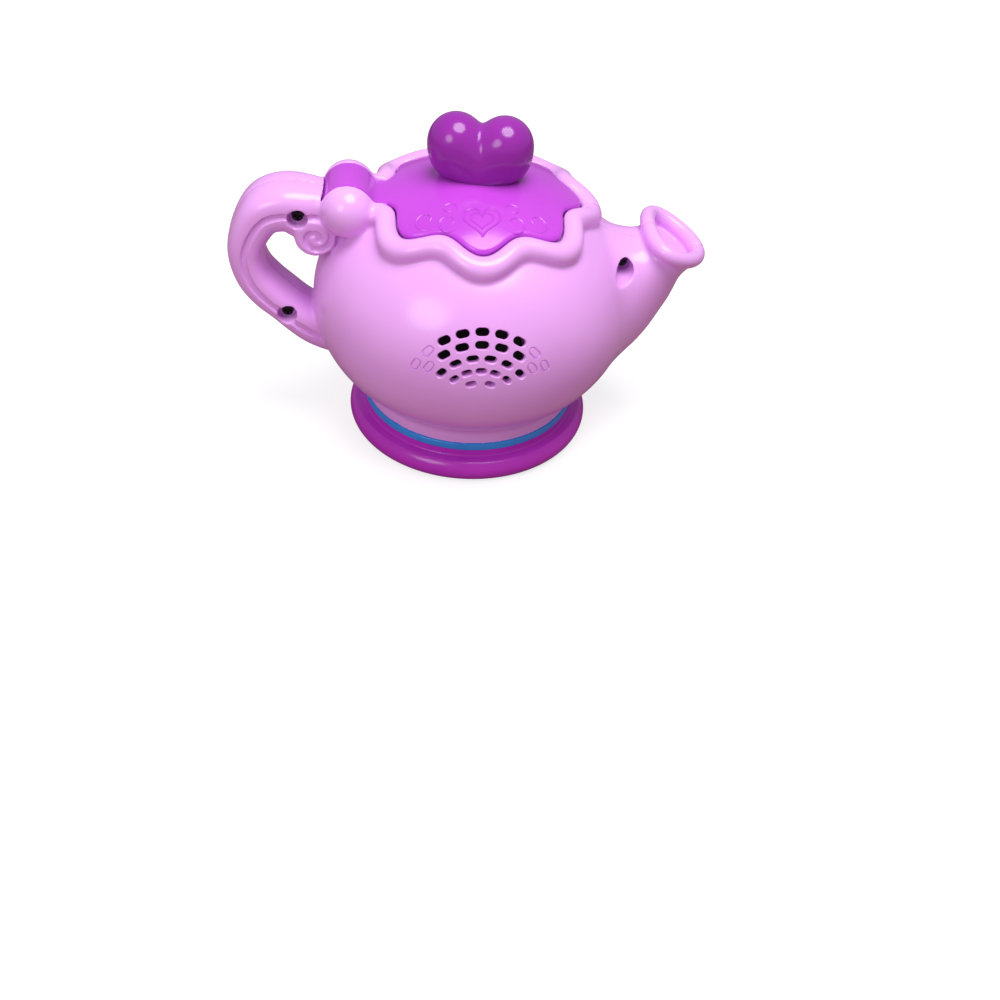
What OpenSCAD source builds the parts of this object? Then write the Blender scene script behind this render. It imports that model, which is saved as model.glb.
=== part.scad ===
// Toy teapot with a speaker: two moulded half shells, hinged lid with a heart knob, base with batteries.
// Millimetres. Origin on the table under the middle of the belly, +X to the spout, +Z up,
// -Y is the speaker side, and the two half shells meet on the plane y = 0.

/* [Body] */
// Largest diameter of the round belly
body_d = 142; // [139:1:145]
// Full height of the egg shape that the belly follows
body_h = 111; // [108:1:114]
// Wall of the half shells
wall = 2.2; // [2:0.1:2.4]
// Diameter of the straight collar under the belly
foot_d = 97; // [96:1:97]
// Height of that collar
foot_h = 7.2; // [6:0.2:9]

/* [Base] */
// Outer diameter of the round-edged base
base_d = 112; // [110:1:116]
// Thickness of the base at its round edge
base_h = 11.6; // [11:0.2:12]
// Width of the raised seat under the trim ring
seat_w = 4.2; // [4:0.1:4.4]
// Height of that seat
seat_h = 2.4; // [2:0.2:3]
// Thickness of the base floor
floor_t = 2.4; // [2.2:0.1:2.6]
// Height of the floor over the table
floor_lift = 1.6; // [1.5:0.1:1.8]
// Number of notches along the lower edge
notch_count = 48; // [36:4:60]
// Width of one notch
notch_w = 2.4; // [1.6:0.2:3]
// Height of one notch
notch_h = 1.4; // [1:0.1:1.6]

/* [Trim ring] */
// Outer diameter of the trim ring
ring_d = 98.4; // [98:0.2:99]
// Height of the trim ring
ring_h = 3.6; // [3:0.2:5]

/* [Lid] */
// Mean diameter of the wavy lid edge as a share of the belly's diameter
lid_share = 0.5775; // [0.57:0.0025:0.585]
// How far the waves go in and out
lid_wave = 3; // [2.4:0.2:3.2]
// Number of waves around the lid
lid_lobes = 8; // [8:8:8]
// How far the lid stands proud of the belly
lid_rise = 3; // [2.8:0.1:3.2]
// Wall of the lid
lid_wall = 2.4; // [2.2:0.1:2.6]
// Gap around the lid edge
lid_gap = 0.5; // [0.4:0.1:0.7]
// Width of the stiffening skirt under the lid
skirt_w = 2; // [1.8:0.1:2.2]
// Radial distance from the narrowest lid edge to the skirt
skirt_inset = 0.7; // [0.6:0.1:0.9]

/* [Bead] */
// Diameter of the wavy bead around the lid
bead_d = 10.4; // [10:0.2:11]
// Distance from the opening to the middle of the bead
bead_offset = 3.9; // [3.6:0.1:4.2]
// How far the middle of the bead stands over the belly
bead_lift = 0.6; // [0.4:0.1:1]
// Angle from the spout direction at which each bead arm ends
bead_end = 162; // [160:1:164]

/* [Hinge] */
// Distance of the hinge axis behind the mean lid edge
hinge_setback = 13.4; // [12.8:0.2:14]
// Height of the hinge axis over the belly surface below it
hinge_lift = 9.7; // [9.4:0.1:10.2]
// Diameter of the lid barrel and of the round ears
hinge_d = 22.4; // [22:0.2:22.8]
// Length of the lid barrel
barrel_len = 20.6; // [20:0.2:21]
// Diameter of the hinge pin
pin_d = 3; // [2.6:0.1:3.4]
// Length of the hinge pin
pin_len = 36; // [34:1:37]

/* [Knob] */
// Width over both lobes of the heart knob
knob_w = 44; // [43:0.5:45]
// Height of the knob over the lid
knob_h = 28; // [27:0.5:29]
// Diameter of each heart lobe
knob_lobe_d = 25; // [24.5:0.5:25.5]
// Wall of the hollow knob
knob_wall = 2.4; // [2.2:0.1:2.6]

/* [Handle] */
// How far the handle's outside stands out from the belly
handle_overhang = 34.8; // [33.8:0.2:36]
// Height of the handle's highest point
handle_top = 119; // [118:0.5:120]
// Width of the handle across both halves
handle_w = 28; // [27:0.5:29]
// Thickness of the handle where it is thinnest
handle_t = 15; // [14.6:0.2:15.4]

/* [Spout] */
// How far the lip's outside stands out from the belly
spout_overhang = 28.8; // [28:0.2:30]
// Height of the middle of the mouth
mouth_z = 96.3; // [95.6:0.2:97]
// Size of the mouth along its slope, at the middle of the lip
mouth_l = 23.6; // [23:0.2:24.2]
// Size of the mouth across, at the middle of the lip
mouth_w = 29; // [28:0.5:30]
// Thickness of the rolled lip
lip_d = 8.4; // [8:0.2:8.8]
// Angle of the mouth's plane from upright
mouth_tilt = 53; // [52:1:54]

/* [Grille] */
// Width over the outermost marks of the grille
grille_w = 52; // [50:1:54]
// Height of the topmost slot
grille_top = 88; // [87:0.5:89]
// Length of a large slot
slot_l = 5.6; // [5:0.2:6]
// Height of a large slot
slot_h = 3.4; // [3:0.1:3.6]
// Depth of the blind marks
mark_depth = 0.8; // [0.6:0.1:1]

/* [Tea well] */
// Distance of the well's wall inside the narrowest lid edge
well_inset = 8; // [8:0.5:8.5]
// Height of the well floor
well_floor = 82; // [81:0.5:84]
// Wall of the well
well_t = 2; // [1.8:0.1:2.2]
// Distance of the flange's outside beyond the narrowest lid edge
well_flange_w = 14; // [13:0.5:15]

/* [Front button] */
// Width of the heart button on the front
button_w = 34; // [33:0.5:35]
// Height of the middle of the button
button_z = 68; // [67:0.5:69]
// How far the button stands proud
button_rise = 1.8; // [1.6:0.1:2]
// Travel of the button
button_travel = 1.5; // [1.2:0.1:1.6]
// Distance of the button board behind the front of the belly
button_board_inset = 25; // [24:0.5:26]

/* [Speaker] */
// Diameter of the loudspeaker
speaker_d = 40; // [39:0.5:41]
// Depth of the loudspeaker behind its flange
speaker_depth = 17; // [16:0.5:18]
// Distance of the flange behind the shell
speaker_setback = 9; // [8.5:0.25:9.5]

/* [Batteries] */
// Diameter of one cell
cell_d = 14.5; // [14.2:0.1:14.6]
// Length of one cell with its nub
cell_l = 50.5; // [50:0.1:50.6]
// Distance between neighbouring cells
cell_pitch = 15.2; // [15:0.1:15.4]
// Wall of the battery pocket
pocket_t = 1.8; // [1.6:0.1:2]
// Length of a contact spring
spring_l = 5.8; // [5.6:0.1:6]

/* [Screws] */
// Shank diameter of the screws
screw_d = 2.8; // [2.6:0.1:3]
// Head diameter of the screws
head_d = 5.4; // [5.2:0.1:5.6]
// Head height of the screws
head_h = 2; // [1.8:0.1:2.2]
// Diameter of the recess over a shell screw
recess_d = 8.4; // [8:0.1:8.8]
// Depth from the parting plane to the seat of a shell screw
screw_seat = 8; // [7.6:0.2:8.4]

/* [Fits] */
// Gap between pieces that do not touch
fit = 0.3; // [0.25:0.05:0.4]
// Running gap of pins, shafts and plungers
running = 0.06; // [0.04:0.01:0.1]
// Length by which cuts overrun the surfaces they cut
overrun = 1; // [0.5:0.5:2]

/* [Hidden] */
pink = "#f3b8f4";
purple = "#c44bdc";
heart_purple = "#ab2fb8";
blue = "#2f97e6";
metal = "#b9bcc2";
black = "#26242a";
board_green = "#2f7d4f";
cell_silver = "#9aa0a8";

round_steps = 60;
small_steps = 24;
arc_steps = 14;
// Points along half of a handle or spout section
half_sides = 8;

body_r = body_d / 2;
body_half_h = body_h / 2;
foot_r = foot_d / 2;
foot_z = base_h + seat_h + ring_h;
body_mid_z = foot_z + foot_h + body_half_h * sqrt(1 - pow(foot_r / body_r, 2));

base_r = base_d / 2;
base_edge_r = base_r - base_h / 2;
seat_r = ring_d / 2 - fit;
seat_in_r = seat_r - seat_w;
floor_top = floor_lift + floor_t;

handle_reach = body_r + handle_overhang;
spout_reach = body_r + spout_overhang;
button_board_y = body_r - button_board_inset;

lid_r = body_r * lid_share;
lid_low_r = lid_r - lid_wave;
well_r = lid_low_r - well_inset;
well_flange_r = lid_low_r + well_flange_w;
hinge_reach = lid_r + hinge_setback;
hinge_r = hinge_d / 2;
hinge_z = body_z(hinge_reach, 0) + hinge_lift;
barrel_room = hinge_r + 2 * fit;

skirt_r = lid_low_r - skirt_inset;
flange_skin = -(wall + fit);
skirt_skin = flange_skin + fit;

pocket_end = cell_l / 2 + spring_l / 2 + fit;
pocket_side = 1.5 * cell_pitch + fit;
pocket_top = floor_top + cell_d + 3 * fit;
cell_z = floor_top + fit + cell_d / 2;

knob_z = body_z(0, lid_rise);
knob_lobe_r = knob_lobe_d / 2;
knob_lobe_x = knob_w / 2 - knob_lobe_r;
knob_lobe_z = knob_z + knob_h - knob_lobe_r;

// Height of the belly surface, grown by skin, at a distance from the axis
function body_z(r, skin) =
    body_mid_z + (body_half_h + skin) * sqrt(max(0, 1 - pow(r / (body_r + skin), 2)));

// Radius of the belly surface, grown by skin, at a height
function body_radius(z, skin) =
    (body_r + skin) * sqrt(max(0, 1 - pow((z - body_mid_z) / (body_half_h + skin), 2)));

// Radius of the wavy lid edge in a direction
function lid_edge(a) = lid_r + lid_wave * cos(lid_lobes * a);

function unit(v) = v / norm(v);

// Curve through every listed point, with the given steps from point to point
function smooth(points, steps) = [
    for (i = [1:len(points) - 3]) for (k = [0:steps - (i == len(points) - 3 ? 0 : 1)])
        let (t = k / steps, a = points[i - 1], b = points[i], c = points[i + 1], d = points[i + 2])
            0.5 * (2 * b + (c - a) * t + (2 * a - 5 * b + 4 * c - d) * t * t
                   + (3 * b - a - 3 * c + d) * t * t * t)];

// Rounded-box section: half sizes p and q, squareness between 2 (ellipse) and more
function soft_box(t, p, q, square) = [
    p * sign(cos(t)) * pow(abs(cos(t)), 2 / square),
    q * sign(sin(t)) * pow(abs(sin(t)), 2 / square)];

// Closed skin over rings that all have the same number of points; the end caps are strips from
// the first and last point of a ring inwards, so that C-shaped rings close too
module skin_rings(rings) {
    count = len(rings[0]);
    last = len(rings) - 1;
    sides = [for (i = [0:last - 1]) for (j = [0:count - 1])
        let (a = i * count + j, b = i * count + (j + 1) % count)
            each [[a, b, b + count], [a, b + count, a + count]]];
    strips = [for (j = [0:count / 2 - 2])
        each [[j, count - 1 - j, j + 1], [j + 1, count - 1 - j, count - 2 - j]]];
    polyhedron(
        points = [for (ring = rings) each ring],
        faces = concat(
            strips, sides,
            [for (f = strips) [f[2] + last * count, f[1] + last * count, f[0] + last * count]]));
}

// Belly outline grown by skin, from its foot up to a distance from the axis
function belly_arc(skin, foot_radius, crown_radius) =
    let (start = -acos(foot_radius / (body_r + skin)), end = acos(crown_radius / (body_r + skin)))
        [for (i = [0:arc_steps]) let (a = start + (end - start) * i / arc_steps)
            [(body_r + skin) * cos(a), body_mid_z + (body_half_h + skin) * sin(a)]];

// Solid belly grown by skin, on a straight foot, over a part of the turn
module belly(skin, foot_radius, foot_bottom, turn = 360) {
    rotate_extrude(angle = turn, $fn = round_steps)
        polygon(concat([[0, foot_bottom], [foot_radius, foot_bottom]], belly_arc(skin, foot_radius, 0)));
}

// Front half of the belly as a shell that is open at the top and at the foot
module belly_shell() {
    crown = lid_low_r / 2;
    outer = belly_arc(0, foot_r, crown);
    inner = belly_arc(-wall, foot_r - wall, crown);
    rotate_extrude(angle = 180, $fn = round_steps)
        polygon(concat([[foot_r - wall, foot_z], [foot_r, foot_z]], outer,
                       [for (i = [len(inner) - 1:-1:0]) inner[i]]));
}

// Handle: places and half thicknesses as shares of reach, top and thickness
handle_shares = [
    [0.40, 0.800, 0.90], [0.50, 0.840, 0.88], [0.605, 0.868, 0.85], [0.68, 0.893, 0.80],
    [0.761, 0.913, 0.69], [0.842, 0.893, 0.63], [0.896, 0.834, 0.575], [0.928, 0.762, 0.53],
    [0.929, 0.697, 0.50], [0.904, 0.630, 0.50], [0.855, 0.572, 0.51], [0.794, 0.521, 0.50],
    [0.733, 0.470, 0.52], [0.662, 0.425, 0.58], [0.56, 0.390, 0.62],
    [0.40, 0.360, 0.62], [0.30, 0.350, 0.62]];
handle_squareness = 3.4;
handle_path = smooth(
    [for (s = handle_shares) [-s[0] * handle_reach, s[1] * handle_top, s[2] * handle_t]], 2);

// Front half of the hollow handle: a channel with a C-shaped section
module handle_half() {
    skin_rings([for (i = [0:len(handle_path) - 1])
        let (p = handle_path[i],
             along = unit(handle_path[min(i + 1, len(handle_path) - 1)] - handle_path[max(i - 1, 0)]),
             across = unit([-along[1], along[0]]))
            [for (side = [0, 1]) for (k = [0:half_sides])
                let (t = (side == 0 ? k : half_sides - k) * 180 / half_sides,
                     q = soft_box(t, p[2] - side * wall, handle_w / 2 - side * wall, handle_squareness))
                    [p[0] + q[0] * across[0], q[1], p[1] + q[0] * across[1]]]]);
}

// Spout: place along X and height as shares of the mouth's place, tilt as a share of the mouth's tilt,
// half height and half width as shares of the mouth's size
mouth_x = spout_reach - lip_d / 2 - mouth_l / 2 * sin(mouth_tilt);
spout_shares = [
    [0.48, 0.64, 0.40, 1.30, 1.05], [0.72, 0.715, 0.50, 1.13, 0.86], [0.855, 0.832, 0.62, 0.84, 0.66],
    [0.922, 0.919, 0.80, 0.61, 0.53], [0.972, 0.970, 0.95, 0.53, 0.53], [0.990, 0.988, 1.00, 0.52, 0.53]];
spout_path = smooth(concat([spout_shares[0]], spout_shares, [spout_shares[len(spout_shares) - 1]]), 3);

// Front half of the hollow spout
module spout_half() {
    skin_rings([for (s = spout_path)
        let (tilt = s[2] * mouth_tilt)
            [for (side = [0, 1]) for (k = [0:half_sides])
                let (t = (side == 0 ? k : half_sides - k) * 180 / half_sides,
                     p = (s[3] * mouth_l - side * wall) * cos(t), q = (s[4] * mouth_w - side * wall) * sin(t))
                    [s[0] * mouth_x - p * sin(tilt), q, s[1] * mouth_z + p * cos(tilt)]]]);
}

// Front half of the floor that closes the mouth, sunk below the lip
mouth_floor_depth = 5;
module mouth_floor() {
    translate([mouth_x, 0, mouth_z]) rotate([0, 90 - mouth_tilt, 0])
        translate([0, 0, -mouth_floor_depth - wall])
        linear_extrude(wall) polygon([for (k = [0:half_sides]) let (t = k * 180 / half_sides)
            [-(mouth_l / 2 - wall / 4) * cos(t), (mouth_w / 2 - wall / 4) * sin(t)]]);
}

// Front half of the rolled lip around the mouth
lip_rings = 14;
lip_sides = 8;
module lip_half() {
    skin_rings([for (i = [0:lip_rings])
        let (a = i * 180 / lip_rings)
            [for (k = [0:lip_sides - 1])
                let (b = -k * 360 / lip_sides,
                     out = 1 + lip_d / 2 * cos(b) / ((mouth_l + mouth_w) / 4),
                     p = mouth_l / 2 * cos(a) * out, q = mouth_w / 2 * sin(a) * out, h = lip_d / 2 * sin(b))
                    [mouth_x - p * sin(mouth_tilt) + h * cos(mouth_tilt), q,
                     mouth_z + p * cos(mouth_tilt) + h * sin(mouth_tilt)]]]);
}

// Front half of the wavy bead around the lid opening
bead_rings = 36;
bead_sides = 8;
function bead_point(a) =
    let (r = lid_edge(a) + lid_gap + bead_offset)
        [r * cos(a), r * sin(a), body_z(r, 0) + bead_lift];
module bead_half() {
    step = bead_end / bead_rings / 2;
    skin_rings([for (i = [0:bead_rings])
        let (a = bead_end * i / bead_rings,
             p = bead_point(a), along = unit(bead_point(a + step) - bead_point(a - step)),
             up = unit([p[0] / pow(body_r, 2), p[1] / pow(body_r, 2),
                        (p[2] - body_mid_z) / pow(body_half_h, 2)]),
             side = unit(cross(up, along)), top = cross(along, side))
            [for (k = [0:bead_sides - 1]) let (t = -k * 360 / bead_sides)
                p + bead_d / 2 * (cos(t) * side + sin(t) * top)]]);
}

// Places children at the front hinge ear
module at_ear() translate([-hinge_reach, barrel_len / 2 + fit, hinge_z]) children();

// Round ear: a dome on the hinge axis, and the post that ties it to the belly
dome_steps = 6;
module ear_dome() {
    at_ear() rotate([-90, 0, 0]) rotate_extrude($fn = round_steps)
        polygon(concat([[0, 0]], [for (i = [0:dome_steps]) let (a = 90 * i / dome_steps)
            hinge_r * [cos(a), sin(a)]]));
}
ear_post_share = 0.72;
ear_post_out_share = 0.76;
module ear_post() {
    at_ear() translate([0, hinge_r * ear_post_out_share, -2 * hinge_lift])
        cylinder(r = hinge_r * ear_post_share, h = 2 * hinge_lift, $fn = small_steps);
}

// Cylinder along Y through the hinge axis
module along_hinge(radius, length) {
    translate([-hinge_reach, 0, hinge_z]) rotate([90, 0, 0])
        cylinder(r = radius, h = length, center = true, $fn = round_steps);
}

// Plan of the wavy lid, grown by gap, with its neck to the hinge
plan_steps = 96;
module lid_plan(gap, neck_w) {
    polygon([for (i = [0:plan_steps - 1]) let (a = (i + 0.5) * 360 / plan_steps)
        (lid_edge(a) + gap) * [cos(a), sin(a)]]);
    neck_l = hinge_reach - hinge_r / 3;
    translate([-neck_l, -neck_w / 2]) square([neck_l, neck_w]);
}

// Opening that the lid drops into, with room for its barrel
module lid_room() {
    translate([0, 0, body_mid_z + body_half_h / 2])
        linear_extrude(body_h) lid_plan(lid_gap, barrel_len + 2 * fit);
    along_hinge(barrel_room, barrel_len + 2 * fit);
}

// Front half of the trough that closes the belly under the barrel
module hinge_trough() {
    intersection() {
        belly(-wall / 2, foot_r - wall, foot_z, 180);
        along_hinge(barrel_room + wall, barrel_len + 2 * fit + 2 * wall);
    }
}

// Places of the shell screws as shares of reach and height: two in the handle, one in the spout
shell_screw_shares = [[-0.712, 0.902], [-0.775, 0.512]];
spout_screw_shares = [0.735, 0.925];
shell_screw_places = concat(
    [for (s = shell_screw_shares) [s[0] * handle_reach, s[1] * handle_top]],
    [[spout_screw_shares[0] * mouth_x, spout_screw_shares[1] * mouth_z]]);
module at_shell_screws() {
    for (p = shell_screw_places) translate([p[0], 0, p[1]]) rotate([90, 0, 0]) children();
}

// Places of the screws between base and shells, on both sides or on one
base_screw_shares = [0.75, 0.46];
base_screw_x = pocket_end * base_screw_shares[0];
base_screw_y = (pocket_side + seat_in_r) * base_screw_shares[1];
module at_base_screws(sides = [-1, 1]) {
    for (x = [-1, 1]) for (y = sides) translate([x * base_screw_x, y * base_screw_y, 0]) children();
}

// Places of the two screws that hold the tea well
well_screw_r = lid_r + lid_wave + lid_gap + bead_offset;
well_screw_z = body_z(well_screw_r, flange_skin - well_t);
module at_well_screws() {
    for (y = [-1, 1]) translate([0, y * well_screw_r, well_screw_z]) children();
}

// Front half of the ledge inside the collar, with a window for the battery pocket
ledge_t = 2;
ledge_in_r = base_screw_y - screw_d;
module ledge() {
    difference() {
        rotate_extrude(angle = 180, $fn = round_steps)
            translate([ledge_in_r, foot_z + fit]) square([foot_r - wall / 2 - ledge_in_r, ledge_t]);
        translate([-pocket_end - pocket_t - fit, -pocket_side - pocket_t - fit, foot_z])
            cube([2 * (pocket_end + pocket_t + fit), 2 * (pocket_side + pocket_t + fit), ledge_t + overrun]);
    }
}

// Pillars inside one shell: for the shell screws and the base screws
boss_r = screw_d / 2 + wall;
base_boss_h = 14;
shell_boss_r = recess_d / 2 + wall / 2;
shell_boss_l = handle_w / 2 - wall / 2;
module shell_bosses() {
    at_shell_screws() translate([0, 0, -shell_boss_l])
        cylinder(r = shell_boss_r, h = shell_boss_l, $fn = small_steps);
    at_base_screws([1]) translate([0, 0, floor_top])
        cylinder(r = boss_r, h = foot_z - floor_top + base_boss_h, $fn = small_steps);
}

// Holes in one shell for the base screws, the well screws and the hinge pin
screw_len = 15;
base_screw_len = 22;
well_screw_len = 7.5;
module pot_screw_holes() {
    at_base_screws() translate([0, 0, floor_top - overrun])
        cylinder(d = screw_d + 2 * running, h = base_screw_len, $fn = small_steps);
    at_well_screws() cylinder(d = screw_d + 2 * running, h = well_screw_len + fit, $fn = small_steps);
    along_hinge(pin_d / 2 + running, pin_len + 2 * fit);
}

// Front half of the pot, without what differs between the two halves
module half_form() {
    difference() {
        union() {
            belly_shell();
            difference() {
                union() {
                    handle_half();
                    spout_half();
                    bead_half();
                    ear_post();
                }
                belly(-wall / 2, foot_r - wall, foot_z - overrun);
            }
            lip_half();
            mouth_floor();
            shell_bosses();
            ledge();
            hinge_trough();
        }
        lid_room();
    }
    ear_dome();
}

// Front shell: takes the tips of the shell screws
module front_shell() color(pink) difference() {
    union() {
        half_form();
        button_pillars();
    }
    pot_screw_holes();
    at_shell_screws() translate([0, 0, screw_seat - screw_len])
        cylinder(d = screw_d + 2 * running, h = screw_len, $fn = small_steps);
    button_screw_holes();
    front_heart(button_w + 3 * fit, button_board_y + board_t, body_r + overrun);
}

// Rear shell: holds the heads of the shell screws, the grille and the loudspeaker
module rear_shell() color(pink) difference() {
    union() {
        mirror([0, 1, 0]) half_form();
        speaker_seat();
    }
    pot_screw_holes();
    at_shell_screws() {
        translate([0, 0, -overrun])
            cylinder(d = screw_d + 2 * running, h = screw_seat + 2 * overrun, $fn = small_steps);
        translate([0, 0, screw_seat]) cylinder(d = recess_d, h = body_d, $fn = small_steps);
    }
    speaker_screw_holes();
    grille_cuts();
}

// Grille: drop and arc radius as shares of the grille width, pitch in degrees, marks in the row,
// how many of them are open, slot size share
grille_shares = [
    [0.000, 0.577, 15.3, 9, 5, 1.0], [0.092, 0.500, 18, 7, 5, 1.0], [0.192, 0.404, 20, 6, 6, 0.9],
    [0.294, 0.298, 22, 5, 5, 0.8], [0.398, 0.210, 42, 2, 2, 0.8]];

// Round-ended bar along Y, seen from the speaker side
bar_steps = 4;
module slot_bar(share, depth) {
    straight = (slot_l - slot_h) * share / 2;
    rotate([90, 0, 0]) linear_extrude(depth)
        polygon([for (x = [1, -1]) for (i = [0:bar_steps]) let (a = -90 * x + 180 * i / bar_steps)
            [x * straight, 0] + slot_h * share / 2 * [cos(a), sin(a)]]);
}

// All slots of the grille, and the blind marks at its ends
module grille_cuts() {
    for (row = grille_shares) for (i = [0:row[3] - 1]) {
        place = i - (row[3] - 1) / 2;
        a = place * row[2];
        x = row[1] * grille_w * sin(a);
        z = grille_top - (row[0] + row[1] * (1 - cos(a))) * grille_w;
        open = abs(place) <= (row[4] - 1) / 2;
        depth = open ? 2 * wall : mark_depth;
        y = sqrt(pow(body_radius(z, 0), 2) - x * x) - depth;
        translate([x, -y, z]) rotate([0, a, 0]) slot_bar(row[5], depth + overrun * 4);
    }
}

// Loudspeaker place: local +Z points out through the grille, zero on the inner side of the shell
speaker_r = speaker_d / 2;
speaker_drop_share = 0.21;
speaker_z = grille_top - grille_w * speaker_drop_share;
speaker_y = body_radius(speaker_z, -wall);
speaker_tilt = atan2((speaker_z - body_mid_z) / pow(body_half_h, 2), speaker_y / pow(body_r, 2));
module at_speaker() translate([0, -speaker_y, speaker_z]) rotate([90 - speaker_tilt, 0, 0]) children();
clamp_r = speaker_r + screw_d / 2 + wall - fit;
module at_speaker_screws() for (a = [0, 180]) rotate(a) translate([clamp_r, 0, 0]) children();

// Seat of the loudspeaker in the rear shell
speaker_seat_w = 2.2;
module speaker_seat() {
    intersection() {
        belly(-wall / 2, foot_r - wall, foot_z);
        at_speaker() translate([0, 0, -speaker_setback]) {
            difference() {
                cylinder(r = speaker_r + speaker_seat_w, h = speaker_d, $fn = round_steps);
                translate([0, 0, -overrun])
                    cylinder(r = speaker_r - speaker_seat_w, h = speaker_d + 2 * overrun, $fn = round_steps);
            }
            at_speaker_screws() cylinder(r = boss_r, h = speaker_d, $fn = small_steps);
        }
    }
}

clamp_screw_len = 7;
module speaker_screw_holes() {
    at_speaker() at_speaker_screws() translate([0, 0, -speaker_setback - overrun])
        cylinder(d = screw_d + 2 * running, h = clamp_screw_len, $fn = small_steps);
}

// Heart outline of a given width, in its own plane
heart_steps = 48;
module heart(width) {
    polygon([for (i = [0:heart_steps - 1]) let (t = i * 360 / heart_steps, s = width / 32)
        s * [16 * pow(sin(t), 3), 13 * cos(t) - 5 * cos(2 * t) - 2 * cos(3 * t) - cos(4 * t)]]);
}

// Extrudes a heart through the front, from one distance to another
module front_heart(width, from, to) {
    translate([0, to, button_z]) rotate([90, 0, 0]) linear_extrude(to - from) heart(width);
}

// Screws of the button board, and their pillars in the front shell
button_screw_x = button_w / 2;
button_screw_drop_share = 0.36;
button_screw_z = button_z - button_w * button_screw_drop_share;
module at_button_screws() {
    for (x = [-1, 1]) translate([x * button_screw_x, button_board_y, button_screw_z])
        rotate([-90, 0, 0]) children();
}
board_t = 1.6;
button_screw_len = 8;
module button_pillars() {
    intersection() {
        belly(-wall / 2, foot_r - wall, foot_z);
        at_button_screws() translate([0, 0, board_t]) cylinder(r = boss_r, h = body_r, $fn = small_steps);
    }
}
module button_screw_holes() {
    at_button_screws() cylinder(d = screw_d + 2 * running, h = button_screw_len, $fn = small_steps);
}

// Cross-recessed screw: seat of the head at zero, shank up, head down
cross_w = 0.9;
cross_share = 0.62;
head_taper_share = 0.86;
module screw(length, head) {
    difference() {
        union() {
            cylinder(d = screw_d, h = length, $fn = small_steps);
            translate([0, 0, -head_h])
                cylinder(d1 = head * head_taper_share, d2 = head, h = head_h, $fn = small_steps);
        }
        for (a = [0, 90]) rotate(a) translate([-head_d * cross_share / 2, -cross_w / 2, -head_h - overrun])
            cube([head_d * cross_share, cross_w, overrun + head_h / 2]);
    }
}

module shell_screws() color(black) at_shell_screws()
    translate([0, 0, screw_seat]) rotate([180, 0, 0]) screw(screw_len - overrun, head_d);
module base_screws() color(black) at_base_screws()
    translate([0, 0, floor_lift + head_h]) screw(base_screw_len - head_h, head_d);
module well_screws() color(black) at_well_screws() screw(well_screw_len, head_d);
module speaker_screws() color(black) at_speaker() at_speaker_screws()
    translate([0, 0, -speaker_setback - speaker_flange_t])
        screw(clamp_screw_len - 2 * overrun, head_d + wall);
module button_screws() color(black) at_button_screws() screw(button_screw_len - overrun, head_d);

// Base: round-edged dish with a floor, a seat for the ring and the battery pocket
edge_steps = 12;
module base_dish() {
    foot_in_r = base_edge_r - base_h / 2;
    rotate_extrude($fn = round_steps)
        polygon(concat(
            [[0, floor_lift], [foot_in_r, floor_lift], [foot_in_r, 0]],
            [for (i = [0:edge_steps]) let (a = -90 + 180 * i / edge_steps)
                [base_edge_r + base_h / 2 * cos(a), base_h / 2 + base_h / 2 * sin(a)]],
            [[seat_r, base_h], [seat_r, base_h + seat_h], [seat_in_r, base_h + seat_h],
             [seat_in_r, floor_top], [0, floor_top]]));
}

// Plan of the battery door, grown by gap
door_screw_x = pocket_end + head_d / 2 + pocket_t;
door_ear_r = head_d / 2 + wall;
module door_plan(gap) {
    translate([-pocket_end - gap, -pocket_side - gap]) square(2 * [pocket_end + gap, pocket_side + gap]);
    translate([door_screw_x, 0]) circle(r = door_ear_r + gap, $fn = small_steps);
    translate([0, -door_ear_r - gap]) square([door_screw_x, 2 * (door_ear_r + gap)]);
}

// Tongues that hook the battery door under the floor
tongue_l = 1.6;
tongue_w = 8;
module door_tongues(gap) {
    for (y = [-1, 1])
        translate([-pocket_end - tongue_l - gap, y * pocket_side / 2 - tongue_w / 2 - gap,
                   floor_lift + floor_t / 2])
            cube([2 * tongue_l + gap, tongue_w + 2 * gap, floor_t / 2]);
}

// Slot of the power switch in the floor
power_y = -base_screw_y;
power_travel = 6;
power_knob_l = 5;
power_knob_w = 4;
module power_slot() {
    translate([-(power_travel + power_knob_l) / 2 - fit, power_y - power_knob_w / 2 - fit, -overrun])
        cube([power_travel + power_knob_l + 2 * fit, power_knob_w + 2 * fit, floor_top + 2 * overrun]);
}
power_post_x = power_travel + power_knob_l + wall;
power_post_r = 1.6;
power_plate_z = floor_top + 2.6;
main_screw_share = 0.84;
main_screw_x = pocket_end * main_screw_share;
standoff_h = 3;
standoff_r = 3;

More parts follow.
